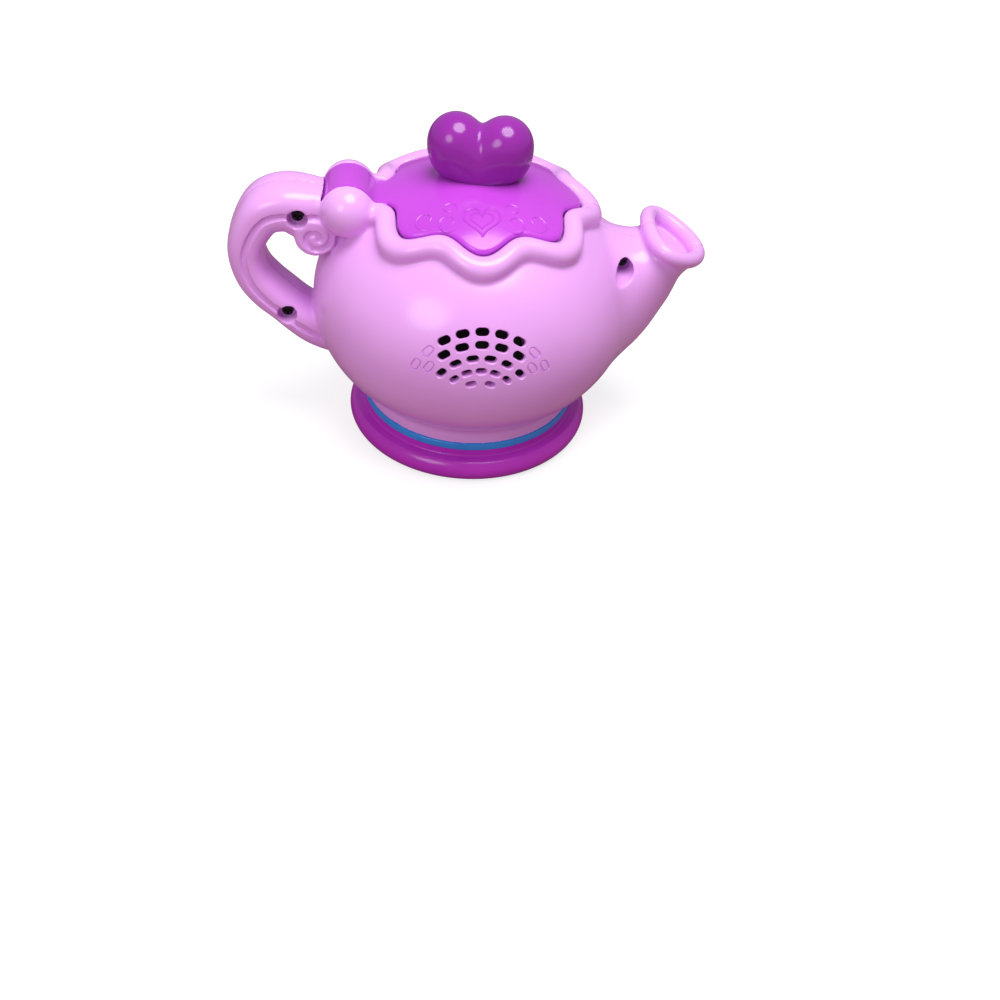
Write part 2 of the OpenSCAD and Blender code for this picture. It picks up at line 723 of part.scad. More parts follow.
module base_tray() color(purple) difference() {
    union() {
        difference() {
            base_dish();
            translate([0, 0, -overrun]) linear_extrude(floor_top + 2 * overrun) door_plan(fit);
        }
        difference() {
            translate([-pocket_end - pocket_t, -pocket_side - pocket_t, floor_top - floor_t / 4])
                cube([2 * (pocket_end + pocket_t), 2 * (pocket_side + pocket_t),
                      pocket_top + pocket_t - floor_top + floor_t / 4]);
            translate([-pocket_end, -pocket_side, 0])
                cube([2 * pocket_end, 2 * pocket_side, pocket_top]);
            translate([0, 0, floor_lift]) linear_extrude(floor_t) door_plan(fit);
        }
        difference() {
            translate([door_screw_x, 0, floor_top - floor_t / 4])
                cylinder(r = door_ear_r + wall, h = foot_z - fit - floor_top + floor_t / 4,
                         $fn = small_steps);
            translate([0, 0, floor_lift]) linear_extrude(floor_t) door_plan(fit);
            translate([-pocket_end, -pocket_side, 0]) cube([2 * pocket_end, 2 * pocket_side, pocket_top]);
        }
        for (x = [-1, 1]) {
            translate([x * main_screw_x, 0, pocket_top + pocket_t / 2])
                cylinder(r = standoff_r, h = pocket_t / 2 + standoff_h, $fn = small_steps);
            translate([x * power_post_x, power_y, floor_top - floor_t / 2])
                cylinder(r = power_post_r, h = power_plate_z - floor_top + floor_t / 2, $fn = small_steps);
        }
    }
    for (i = [0:notch_count - 1]) rotate(i * 360 / notch_count)
        translate([base_edge_r - base_h / 4, -notch_w / 2, -overrun])
            cube([base_h, notch_w, notch_h + overrun]);
    door_tongues(fit);
    power_slot();
    at_base_screws() {
        translate([0, 0, -overrun])
            cylinder(d = screw_d + 2 * running, h = floor_top + 2 * overrun, $fn = small_steps);
        translate([0, 0, -overrun])
            cylinder(d = head_d + 2 * fit, h = floor_lift + head_h + overrun, $fn = small_steps);
    }
    translate([door_screw_x, 0, 0])
        cylinder(d = screw_d + 2 * running, h = door_screw_len + floor_lift, $fn = small_steps);
    for (x = [-1, 1]) translate([x * main_screw_x, 0, pocket_top + pocket_t / 2])
        cylinder(d = screw_d + 2 * running, h = standoff_h + pocket_t, $fn = small_steps);
}
door_screw_len = 12;

module trim_ring() color(blue) {
    edge = ring_h / 6;
    in_r = seat_in_r + fit;
    out_r = ring_d / 2;
    rotate_extrude($fn = round_steps)
        polygon([[in_r, base_h + seat_h], [out_r - edge, base_h + seat_h], [out_r, base_h + seat_h + edge],
                 [out_r, foot_z - edge], [out_r - edge, foot_z], [in_r, foot_z]]);
}

module battery_door() color(purple) difference() {
    union() {
        translate([0, 0, floor_lift]) linear_extrude(floor_t) door_plan(0);
        door_tongues(0);
    }
    translate([door_screw_x, 0, -overrun]) {
        cylinder(d = screw_d + 2 * running, h = base_h, $fn = small_steps);
        cylinder(d = head_d + 2 * fit, h = floor_lift + door_head_sink + overrun, $fn = small_steps);
    }
}
door_head_sink = 1.4;
module battery_door_screw() color(black)
    translate([door_screw_x, 0, floor_lift + door_head_sink])
        screw(door_screw_len - door_head_sink - overrun, head_d);

// Places children at each cell, the middle one turned round
module at_cells() for (i = [-1:1]) translate([0, i * cell_pitch, cell_z]) rotate(i == 0 ? 180 : 0) children();
nub_l = 1;
nub_d = 5.4;
cell_shift = spring_l / 2;
module batteries() color(cell_silver)
    at_cells() translate([cell_shift - cell_l / 2, 0, 0]) rotate([0, 90, 0]) {
    cylinder(d = cell_d, h = cell_l - nub_l, $fn = round_steps);
    translate([0, 0, cell_l - nub_l]) cylinder(d = nub_d, h = nub_l, $fn = small_steps);
}
plate_t = 0.3;
plate_share = 0.7;
module contact_plates() color(metal) at_cells()
    translate([pocket_end - plate_t, -cell_d * plate_share / 2, -cell_d * plate_share / 2])
        cube([plate_t, cell_d * plate_share, cell_d * plate_share]);
spring_d = 8;
spring_tip_share = 0.7;
spring_bore_share = 0.45;
module contact_springs() color(metal) at_cells() translate([-pocket_end, 0, 0]) rotate([0, 90, 0])
    difference() {
        cylinder(d1 = spring_d, d2 = spring_d * spring_tip_share, h = spring_l + fit, $fn = small_steps);
        translate([0, 0, -overrun])
            cylinder(d = spring_d * spring_bore_share, h = spring_l + fit + 2 * overrun, $fn = small_steps);
    }

// Power switch: sliding knob in the floor and the switch body over it
power_flange_t = 1.2;
power_pin_d = 2.4;
module power_slider() color(blue) {
    translate([-power_travel / 2 - power_knob_l / 2, power_y - power_knob_w / 2, floor_lift / 2])
        cube([power_knob_l, power_knob_w, floor_top - floor_lift / 2 + fit]);
    translate([-power_travel / 2 - power_knob_l, power_y - power_knob_w, floor_top + fit / 2])
        cube([2 * power_knob_l, 2 * power_knob_w, power_flange_t]);
    translate([-power_travel / 2, power_y, floor_top + fit])
        cylinder(d = power_pin_d, h = power_plate_z - floor_top + power_plate_t, $fn = small_steps);
}
power_plate_t = 1;
power_can_h = 4;
module power_switch() color(metal) difference() {
    union() {
        translate([-power_post_x - power_post_r, power_y - power_knob_w, power_plate_z])
            cube([2 * (power_post_x + power_post_r), 2 * power_knob_w, power_plate_t]);
        translate([-power_travel - wall, power_y - power_knob_w, power_plate_z])
            cube([2 * (power_travel + wall), 2 * power_knob_w, power_plate_t + power_can_h]);
    }
    translate([-power_travel / 2 - power_pin_d / 2 - fit, power_y - power_pin_d / 2 - fit,
               power_plate_z - overrun])
        cube([power_travel + power_pin_d + 2 * fit, power_pin_d + 2 * fit,
              overrun + power_plate_t + power_can_h / 2]);
}

// Main board over the battery pocket, with its parts
main_edge = 4.1;
main_l = 2 * (main_screw_x + main_edge);
main_w = 38;
main_z = pocket_top + pocket_t + standoff_h;
module main_board() color(board_green) difference() {
    translate([-main_l / 2, -main_w / 2, main_z]) cube([main_l, main_w, board_t]);
    for (x = [-1, 1]) translate([x * main_screw_x, 0, main_z - overrun])
        cylinder(d = screw_d + 2 * running, h = board_t + 2 * overrun, $fn = small_steps);
}
main_screw_len = 5;
module main_screws() color(black) for (x = [-1, 1])
    translate([x * main_screw_x, 0, main_z + board_t]) rotate([180, 0, 0]) screw(main_screw_len, head_d);
chip_r = 6;
chip_h = 2;
chip_top_share = 0.6;
module sound_chip() color(black) translate([0, 0, main_z + board_t])
    cylinder(r1 = chip_r, r2 = chip_r * chip_top_share, h = chip_h, $fn = small_steps);
cap_r = 4;
cap_h = 11;
// Places of the tall parts on the main board, as shares of its length and width
board_part_shares = [0.28, 0.3];
module capacitor() color(blue)
    translate([main_l * board_part_shares[0], main_w * board_part_shares[1], main_z + board_t])
        cylinder(r = cap_r, h = cap_h, $fn = small_steps);
tilt_r = 3;
tilt_h = 9;
module tilt_switch() color(metal)
    translate([-main_l * board_part_shares[0], main_w * board_part_shares[1], main_z + board_t])
        cylinder(r = tilt_r, h = tilt_h, $fn = small_steps);

// Loudspeaker
speaker_flange_t = 1;
magnet_share = 0.62;
module speaker_basket() color(metal) at_speaker() translate([0, 0, -speaker_setback - speaker_flange_t]) {
    rim = speaker_r - speaker_seat_w - fit;
    back = -speaker_depth / 2;
    rotate_extrude($fn = round_steps)
        polygon([[rim, speaker_flange_t], [speaker_r, speaker_flange_t], [speaker_r, 0],
                 [rim + speaker_flange_t, 0],
                 [speaker_r * magnet_share, back - speaker_flange_t], [0, back - speaker_flange_t], [0, back],
                 [speaker_r * magnet_share - speaker_flange_t, back], [rim, 0]]);
}
module speaker_magnet() color(black) at_speaker()
    translate([0, 0, -speaker_setback - 2 * speaker_flange_t - speaker_depth])
        cylinder(r = speaker_r * magnet_share, h = speaker_depth / 2, $fn = round_steps);
cone_t = 0.6;
cone_inner_share = 0.3;
module speaker_cone() color(black) at_speaker() translate([0, 0, -speaker_setback - speaker_flange_t]) {
    rim = speaker_r - speaker_seat_w - 2 * fit;
    low = -speaker_depth / 2 + 2 * fit;
    inner = speaker_r * cone_inner_share;
    rotate_extrude($fn = round_steps)
        polygon([[rim, speaker_flange_t], [rim, speaker_flange_t - cone_t], [inner, low], [inner, low - fit],
                 [0, low - fit], [0, low + cone_t], [inner - cone_t, low + cone_t],
                 [rim - cone_t, speaker_flange_t]]);
}

// Tea well: bowl with a flange under the belly's crown
module tea_well() color(pink) difference() {
    rotate_extrude($fn = round_steps) {
        out = [for (i = [0:4]) let (r = well_r + (well_flange_r - well_r) * i / 4)
            [r, body_z(r, flange_skin)]];
        back = [for (i = [4:-1:0]) let (r = well_r + well_t + (well_flange_r - well_r - well_t) * i / 4)
            [r, body_z(r, flange_skin - well_t)]];
        round_r = well_r / 4;
        polygon(concat(
            [[0, well_floor]],
            [for (i = [0:4]) let (a = -90 + 90 * i / 4)
                [well_r - round_r + round_r * cos(a), well_floor + round_r + round_r * sin(a)]],
            out, back,
            [for (i = [4:-1:0]) let (a = -90 + 90 * i / 4, s = round_r + well_t)
                [well_r - round_r + s * cos(a), well_floor + round_r + s * sin(a)]],
            [[0, well_floor - well_t]]));
    }
    along_hinge(barrel_room + wall + fit, body_d);
    at_well_screws() translate([0, 0, -overrun])
        cylinder(d = screw_d + 2 * running, h = well_screw_len, $fn = small_steps);
    at_well_screws() translate([0, 0, -head_d]) cylinder(d = head_d + fit, h = head_d, $fn = small_steps);
    translate([skirt_r - skirt_w / 2, 0, well_floor])
        cylinder(d = plunger_d + 2 * running, h = body_h, $fn = small_steps);
}
plunger_d = 3.4;

// Lid switch under the well's flange; its plunger meets the lid's skirt
lid_switch_w = 6;
lid_switch_h = 9;
plunger_x = skirt_r - skirt_w / 2;
lid_switch_top = body_z(plunger_x + lid_switch_w / 2, flange_skin - well_t) - fit;
module lid_switch() color(black) difference() {
    translate([plunger_x - lid_switch_w / 2, -lid_switch_w / 2, lid_switch_top - lid_switch_h])
        cube([lid_switch_w, lid_switch_w, lid_switch_h]);
    translate([plunger_x, 0, lid_switch_top - lid_switch_h / 2])
        cylinder(d = plunger_d + 2 * running, h = lid_switch_h, $fn = small_steps);
}
module lid_switch_plunger() color(blue)
    translate([plunger_x, 0, lid_switch_top - lid_switch_h / 2 + fit])
        cylinder(d = plunger_d, h = body_z(skirt_r, flange_skin) - lid_switch_top + lid_switch_h / 2 - fit,
                 $fn = small_steps);

// Lid: piece of dome with a wavy edge, a skirt, a neck and the hinge barrel
knob_screw_share = 0.8;
knob_screw_x = knob_lobe_x * knob_screw_share;
knob_screw_z = body_z(knob_screw_x + head_d / 2, lid_rise - lid_wall) - fit;
module lid() color(purple) difference() {
    union() {
        intersection() {
            difference() {
                belly(lid_rise, foot_r, foot_z);
                belly(lid_rise - lid_wall, foot_r, foot_z - overrun);
            }
            translate([0, 0, body_mid_z + body_half_h / 2]) linear_extrude(body_h) lid_plan(0, barrel_len);
        }
        intersection() {
            difference() {
                belly(lid_rise - lid_wall / 2, foot_r, foot_z);
                belly(skirt_skin, foot_r, foot_z - overrun);
            }
            translate([0, 0, body_mid_z]) difference() {
                cylinder(r = skirt_r, h = body_h, $fn = round_steps);
                translate([0, 0, -overrun])
                    cylinder(r = skirt_r - skirt_w, h = body_h + 2 * overrun, $fn = round_steps);
            }
        }
        along_hinge(hinge_r, barrel_len);
        for (x = [-1, 1]) translate([x * knob_screw_x, 0, knob_screw_z])
            cylinder(r = head_d / 2 + fit, h = body_z(knob_screw_x, lid_rise - lid_wall / 2) - knob_screw_z,
                     $fn = small_steps);
    }
    along_hinge(pin_d / 2 + running, body_d);
    for (x = [-1, 1]) translate([x * knob_screw_x, 0, well_floor])
        cylinder(d = screw_d + 2 * running, h = body_h, $fn = small_steps);
}

module hinge_pin() color(metal) along_hinge(pin_d / 2, pin_len);

// Heart knob: two plump lobes drawn down to an oval foot, hollow, with two screw pillars
knob_foot_share = 0.86;
knob_foot_x_share = 0.55;
knob_steps = 28;
knob_pillar_h = knob_lobe_z - knob_z + wall + knob_lobe_r - knob_wall + fit;
module knob_lobes(inset) {
    for (x = [-1, 1]) hull() {
        translate([x * knob_lobe_x, 0, knob_lobe_z]) sphere(r = knob_lobe_r - inset, $fn = knob_steps);
        translate([x * knob_lobe_x * knob_foot_x_share, 0, knob_z - wall])
            cylinder(r = knob_lobe_r * knob_foot_share - inset, h = wall, $fn = knob_steps);
    }
}
module lid_knob() color(heart_purple) difference() {
    union() {
        difference() {
            knob_lobes(0);
            knob_lobes(knob_wall);
        }
        for (x = [-1, 1]) translate([x * knob_screw_x, 0, knob_z - wall])
            cylinder(r = boss_r, h = knob_pillar_h, $fn = small_steps);
    }
    belly(lid_rise + running, foot_r, foot_z);
    for (x = [-1, 1]) translate([x * knob_screw_x, 0, knob_screw_z])
        cylinder(d = screw_d + 2 * running, h = knob_screw_len, $fn = small_steps);
}
knob_screw_len = 13;
module knob_screws() color(black) for (x = [-1, 1]) translate([x * knob_screw_x, 0, knob_screw_z])
    screw(knob_screw_len - overrun, head_d);

// Heart button on the front with its board, switch and lamp
button_set_back = 11;
button_flange_y = button_board_y + button_set_back;
button_flange_t = 2;
button_flange_grow = 6;
button_stem_d = 6;
switch_w = 6.2;
switch_t = 4.4;
switch_front = button_board_y + board_t + switch_t;
stem_end = switch_front + button_travel + fit;
module heart_button() color(heart_purple) {
    intersection() {
        front_heart(button_w, button_flange_y, body_d);
        difference() {
            belly(button_rise, foot_r, foot_z);
            belly(button_rise - 3 * wall, foot_r, foot_z - overrun);
        }
    }
    difference() {
        front_heart(button_w, button_flange_y, body_radius(button_z, 0) - 2 * wall);
        front_heart(button_w - 4 * wall, button_flange_y - overrun, body_r);
    }
    front_heart(button_w + button_flange_grow, button_flange_y, button_flange_y + button_flange_t);
    translate([0, stem_end, button_z]) rotate([-90, 0, 0])
        cylinder(d = button_stem_d, h = button_flange_y - stem_end + button_flange_t / 2, $fn = small_steps);
}
module button_plunger() color(metal) translate([0, switch_front - switch_t / 2, button_z]) rotate([-90, 0, 0])
    cylinder(d = plunger_d, h = stem_end - switch_front + switch_t / 2, $fn = small_steps);
module button_switch() color(black) difference() {
    translate([-switch_w / 2, button_board_y + board_t, button_z - switch_w / 2])
        cube([switch_w, switch_t, switch_w]);
    translate([0, switch_front - switch_t / 2 - button_travel - fit, button_z]) rotate([-90, 0, 0])
        cylinder(d = plunger_d + 2 * running, h = switch_t, $fn = small_steps);
}
button_board_margin = 5;
button_board_w = button_w + 2 * button_board_margin;
button_board_h_share = 0.95;
button_board_drop_share = 0.55;
button_board_h = button_w * button_board_h_share;
module button_board() color(board_green) difference() {
    translate([-button_board_w / 2, button_board_y, button_z - button_board_h * button_board_drop_share])
        cube([button_board_w, board_t, button_board_h]);
    at_button_screws() translate([0, 0, -overrun])
        cylinder(d = screw_d + 2 * running, h = board_t + 2 * overrun, $fn = small_steps);
}
lamp_d = 5;
lamp_h = 5;
lamp_drop_share = 0.26;
module button_lamp() color("#f4f4f4")
    translate([0, button_board_y + board_t, button_z - button_w * lamp_drop_share])
        rotate([-90, 0, 0]) cylinder(d = lamp_d, h = lamp_h, $fn = small_steps);

rear_shell();
front_shell();
base_tray();
trim_ring();
battery_door();
battery_door_screw();
base_screws();
shell_screws();
lid();
lid_knob();
knob_screws();
hinge_pin();
tea_well();
well_screws();
lid_switch();
lid_switch_plunger();
speaker_basket();
speaker_cone();
speaker_magnet();
speaker_screws();
main_board();
main_screws();
sound_chip();
capacitor();
tilt_switch();
batteries();
contact_springs();
contact_plates();
power_switch();
power_slider();
heart_button();
button_plunger();
button_switch();
button_board();
button_screws();
button_lamp();
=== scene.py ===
"""Looks of the toy teapot: moulded pieces over the CAD frame, with their materials, light and camera."""
import math

import bpy
import numpy as np
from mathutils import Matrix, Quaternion, Vector


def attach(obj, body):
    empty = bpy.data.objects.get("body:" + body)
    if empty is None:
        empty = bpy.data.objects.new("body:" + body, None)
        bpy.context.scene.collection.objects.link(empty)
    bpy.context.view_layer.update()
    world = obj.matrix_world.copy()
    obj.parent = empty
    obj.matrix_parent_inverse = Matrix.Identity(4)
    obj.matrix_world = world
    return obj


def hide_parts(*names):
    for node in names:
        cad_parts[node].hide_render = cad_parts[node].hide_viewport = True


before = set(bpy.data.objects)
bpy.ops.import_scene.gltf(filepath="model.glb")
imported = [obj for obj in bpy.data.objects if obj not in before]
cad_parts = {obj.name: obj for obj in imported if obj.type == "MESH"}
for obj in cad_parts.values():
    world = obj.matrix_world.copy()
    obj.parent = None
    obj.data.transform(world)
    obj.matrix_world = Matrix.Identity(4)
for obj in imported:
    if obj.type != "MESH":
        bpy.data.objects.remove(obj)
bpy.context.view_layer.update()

MM = 0.001

# Sizes in millimetres: those of the part's source, but mouth and knob follow the photograph more closely
BODY_R = 71.0
BODY_HALF_H = 55.5
WALL = 2.2
FOOT_R = 48.5
FOOT_Z = 17.6
FOOT_H = 7.2
BODY_MID_Z = FOOT_Z + FOOT_H + BODY_HALF_H * math.sqrt(1 - (FOOT_R / BODY_R) ** 2)

BASE_R = 56.0
BASE_H = 11.6
SEAT_OUT_R = 48.9
SEAT_IN_R = 44.7
SEAT_TOP = 14.0
FLOOR_LIFT = 1.6
FLOOR_TOP = 4.0
NOTCHES = 48
NOTCH_W = 2.4
NOTCH_H = 1.4
RING_R = 49.2
FIT = 0.3
POCKET_END = 28.45
POCKET_SIDE = 23.1
POCKET_TOP = 19.4
POCKET_T = 1.8
DOOR_SCREW_X = 32.95
DOOR_EAR_R = 4.9
DOOR_HOLE_H = 13.6
STANDOFF_X = 23.9
STANDOFF_R = 3.0
STANDOFF_H = 3.0
SHANK_HOLE_R = 1.46
HEAD_HOLE_R = 3.0
HEAD_H = 2.0
POWER_SLOT_HALF_L = 5.8
POWER_SLOT_HALF_W = 2.3

LID_R = 41.0
LID_WAVE = 3.0
LID_LOBES = 8
LID_RISE = 3.0
LID_WALL = 2.4
LID_GAP = 0.5
SKIRT_MID_R = 36.3
SKIRT_HALF_W = 1.0
BEAD_R = 5.2
BEAD_OFFSET = 3.9
BEAD_LIFT = 0.6
BEAD_END = math.radians(162)

HINGE_REACH = 54.4
HINGE_LIFT = 9.7
HINGE_R = 11.2
BARREL_HALF = 10.3
ROOM_R = 11.8
ROOM_HALF = 10.6
PIN_HOLE_R = 1.56

KNOB_LOBE_R = 12.0
KNOB_LOBE_X = 10.0
KNOB_H = 25.0

HANDLE_REACH = 105.8
HANDLE_TOP = 119.0
HANDLE_T = 15.0
MOUTH_X = 86.78
MOUTH_Z = 95.0
MOUTH_L = 25.0
MOUTH_W = 37.0
MOUTH_TILT = math.radians(66)
LIP_R = 3.3
MOUTH_DEPTH = 3.9

RECESS_R = 4.2
RECESS_SEAT = 8.0
SHELL_SCREWS = [(-75.3, 107.3), (-82.0, 60.9), (63.3, 89.1)]
GRILLE_W = 52.0
GRILLE_TOP = 88.0
GRILLE_BACK = 66.0
SLOT_L = 5.6
SLOT_H = 3.4
BUTTON_W = 34.0
BUTTON_Z = 68.0
BUTTON_RISE = 1.8
BUTTON_GAP = 0.45


# Plain geometry

# Distance given to places where a form is not worked out
FAR = 50.0


def belly_height(radius, skin=0.0):
    """Height of the belly surface, grown by skin, at a distance from the axis."""
    share = np.clip(1 - (radius / (BODY_R + skin)) ** 2, 0, None)
    return BODY_MID_Z + (BODY_HALF_H + skin) * np.sqrt(share)


def belly_radius(height, skin=0.0):
    """Radius of the belly surface, grown by skin, at a height."""
    share = np.clip(1 - ((height - BODY_MID_Z) / (BODY_HALF_H + skin)) ** 2, 0, None)
    return (BODY_R + skin) * np.sqrt(share)


HINGE_X = -HINGE_REACH
HINGE_Z = float(belly_height(HINGE_REACH)) + HINGE_LIFT
KNOB_Z = float(belly_height(0.0, LID_RISE))


def lid_edge(angle):
    """Radius of the wavy lid edge in a direction."""
    return LID_R + LID_WAVE * np.cos(LID_LOBES * angle)


def curve_through(points, steps):
    """Smooth curve through every listed point but the first and last, which only steer it."""
    points = np.array(points, float)
    share = np.linspace(0, 1, steps, endpoint=False)[:, None]
    spans = []
    for a, b, c, d in zip(points[:-3], points[1:-2], points[2:-1], points[3:]):
        bend = 2 * a - 5 * b + 4 * c - d
        twist = 3 * b - a - 3 * c + d
        spans.append(0.5 * (2 * b + (c - a) * share + bend * share ** 2 + twist * share ** 3))
    return np.vstack(spans + [points[-2:-1]])


def heart_outline(width, steps=96):
    """Heart of a given width around its middle, as a closed path."""
    t = np.linspace(0, 2 * math.pi, steps + 1)
    across = 16 * np.sin(t) ** 3
    up = 13 * np.cos(t) - 5 * np.cos(2 * t) - 2 * np.cos(3 * t) - np.cos(4 * t)
    return np.stack([across, up], axis=1) * width / 32


def smooth_min(a, b, k):
    """Union of two distances with a fillet of about size k."""
    h = np.clip(0.5 + 0.5 * (b - a) / k, 0, 1)
    return b + (a - b) * h - k * h * (1 - h)


def smooth_max(a, b, k):
    """Cut of two distances with a rounded edge of about size k."""
    return -smooth_min(-a, -b, k)


def fade(low, high, value):
    """0 below low, 1 above high, smooth between."""
    t = np.clip((value - low) / (high - low), 0, 1)
    return t * t * (3 - 2 * t)


def along_path(u, v, path):
    """Distance to a plane path, on which side (1 is left), and the path's further values there."""
    scores = (path[:, 0] ** 2 + path[:, 1] ** 2)[None, :]
    scores = scores - 2 * (np.outer(u, path[:, 0]) + np.outer(v, path[:, 1]))
    near = np.argmin(scores, axis=1)
    place = np.stack([u, v], axis=1)
    found = []
    for shift in (-1, 0):
        first = np.clip(near + shift, 0, len(path) - 2)
        a = path[first]
        step = path[first + 1] - a
        away = place - a[:, :2]
        share = np.clip((away * step[:, :2]).sum(1) / (step[:, :2] ** 2).sum(1), 0, 1)
        away = away - share[:, None] * step[:, :2]
        side = step[:, 0] * away[:, 1] - step[:, 1] * away[:, 0]
        found.append((np.hypot(away[:, 0], away[:, 1]), side, a[:, 2:] + share[:, None] * step[:, 2:]))
    (d0, s0, e0), (d1, s1, e1) = found
    first_wins = d0 < d1
    further = np.where(first_wins[:, None], e0, e1)
    return np.minimum(d0, d1), np.sign(np.where(first_wins, s0, s1)), further


def inside_path(u, v, path):
    """Whether places lie inside a closed plane path."""
    inside = np.zeros(len(u), bool)
    for (u0, v0), (u1, v1) in zip(path[:-1], path[1:]):
        if v0 == v1:
            continue
        crossed = (v0 > v) != (v1 > v)
        inside ^= crossed & (u < u0 + (v - v0) * (u1 - u0) / (v1 - v0))
    return inside


def section(u, v, half_u, half_v, square):
    """Distance to a soft box section; square is 2 for an ellipse and more for fuller corners."""
    a = np.abs(u) / half_u
    b = np.abs(v) / half_v
    size = np.maximum((a ** square + b ** square) ** (1 / square), 1e-6)
    slope_u = (a / size) ** (square - 1) / half_u
    slope_v = (b / size) ** (square - 1) / half_v
    return (size - 1) / np.maximum(np.hypot(slope_u, slope_v), 1e-3)


def rounded_disc(across, along, radius, half, corner):
    """Distance to a disc with rounded rims: distance from its axis and along it."""
    a = across - (radius - corner)
    b = np.abs(along) - (half - corner)
    return np.minimum(np.maximum(a, b), 0) + np.hypot(np.maximum(a, 0), np.maximum(b, 0)) - corner


def ellipsoid(p, middle, radii):
    """Distance to an ellipsoid."""
    q = (p - middle) / np.array(radii)
    size = np.linalg.norm(q, axis=1)
    return size * (size - 1) / np.maximum(np.linalg.norm(q / np.array(radii), axis=1), 1e-6)


def belly(p, skin=0.0):
    """Distance to the egg-shaped belly, grown by skin."""
    return ellipsoid(p, (0, 0, BODY_MID_Z), (BODY_R + skin, BODY_R + skin, BODY_HALF_H + skin))


# Handle: places and half thicknesses as shares of reach, top and thickness, then the half width
HANDLE_SHARES = [
    (0.40, 0.800, 0.90, 9.5), (0.50, 0.840, 0.88, 9.5), (0.605, 0.868, 0.85, 10.5), (0.68, 0.893, 0.80, 13.2),
    (0.761, 0.913, 0.69, 14), (0.842, 0.893, 0.63, 14), (0.896, 0.834, 0.575, 14), (0.928, 0.762, 0.53, 14),
    (0.929, 0.697, 0.50, 14), (0.904, 0.630, 0.50, 14), (0.855, 0.572, 0.51, 14), (0.794, 0.521, 0.50, 14),
    (0.733, 0.470, 0.52, 14), (0.662, 0.425, 0.58, 13.5), (0.56, 0.390, 0.62, 13), (0.40, 0.360, 0.62, 12.5),
    (0.30, 0.350, 0.62, 12.5)]
HANDLE_PATH = curve_through(
    [(-s[0] * HANDLE_REACH, s[1] * HANDLE_TOP, s[2] * HANDLE_T, s[3]) for s in HANDLE_SHARES], 12)
HANDLE_SQUARE = 3.0

# Scroll at the upper end of the handle: a disc with a track that winds into it
SCROLL_X = -68.4
SCROLL_Z = 98.6
SCROLL_R = 8.6
SCROLL_HALF_W = 13.6
SCROLL_CORNER = 2.0
SCROLL_BLEND = 1.5
TRACK_HALF_W = 1.2
TRACK_SLOPE_IN = 0.3
TRACK_SLOPE_OUT = 0.4
TRACK_DEPTH = 1.1
HANDLE_ZONE_X = -40.0


def handle_track():
    """Track on the handle's side: up the middle of the handle, then in a spiral on the scroll."""
    straight = HANDLE_PATH[HANDLE_PATH[:, 0] < SCROLL_X - 9][:, :2]
    lower = HANDLE_PATH[HANDLE_PATH[:, 1] < HANDLE_TOP * 0.47][:, :2]
    climb = np.vstack([straight, lower])[::-1]
    share = np.linspace(0, 1, 60)
    angle = math.radians(95) - math.radians(470) * share
    radius = 2.0 + 7.4 * (1 - share) ** 1.9
    spiral = np.stack([SCROLL_X + radius * np.cos(angle), SCROLL_Z + radius * np.sin(angle)], axis=1)
    return np.vstack([climb, spiral])


TRACK_PATH = handle_track()


def handle(p):
    """Distance to the handle with its scroll and the track on its sides."""
    found = np.full(len(p), FAR)
    near = p[:, 0] < HANDLE_ZONE_X
    x, y, z = p[near].T
    off, _, sizes = along_path(x, z, HANDLE_PATH)
    beside = along_path(x, z, TRACK_PATH)[0]
    track = TRACK_DEPTH * (1 - fade(TRACK_HALF_W - TRACK_SLOPE_IN, TRACK_HALF_W + TRACK_SLOPE_OUT, beside))
    band = section(off, y, sizes[:, 0], sizes[:, 1] - track, HANDLE_SQUARE)
    around = np.hypot(x - SCROLL_X, z - SCROLL_Z)
    scroll = rounded_disc(around, np.abs(y) + track, SCROLL_R, SCROLL_HALF_W, SCROLL_CORNER)
    found[near] = smooth_min(band, scroll, SCROLL_BLEND)
    return found


# Spout: place along X and height as shares of the mouth's place, tilt as a share of the mouth's tilt,
# half height and half width as shares of the mouth's size
SPOUT_SHARES = [
    (0.477, 0.648, 0.333, 1.228, 0.824), (0.714, 0.726, 0.424, 1.064, 0.676),
    (0.853, 0.853, 0.576, 0.800, 0.541), (0.931, 0.929, 0.788, 0.544, 0.476),
    (0.977, 0.972, 0.940, 0.516, 0.465), (0.989, 0.985, 1.000, 0.504, 0.470)]
SPOUT_SCALE = np.array([MOUTH_X, MOUTH_Z, MOUTH_TILT, MOUTH_L, MOUTH_W])
SPOUT_PATH = curve_through([SPOUT_SHARES[0], *SPOUT_SHARES, SPOUT_SHARES[-1]], 8) * SPOUT_SCALE

# Mouth of the spout: flattening of its oval, wall, and soft edges
MOUTH_FLATTEN = 0.3
MOUTH_WALL_SHARE = 0.75
MOUTH_CORNER = 1.5
MOUTH_EDGE = 0.8
NECK_END_EDGE = 1.0
LIP_BLEND = 2.4
SPOUT_ZONE_X = 36.0


def mouth_outline():
    """Middle of the lip in the mouth's plane: an oval, flatter towards the pot, as a closed path."""
    t = np.linspace(0, 2 * math.pi, 97)
    flat = t - MOUTH_FLATTEN * np.sin(t)
    return np.stack([MOUTH_L / 2 * np.cos(flat), MOUTH_W / 2 * np.sin(t)], axis=1)


MOUTH_PATH = mouth_outline()


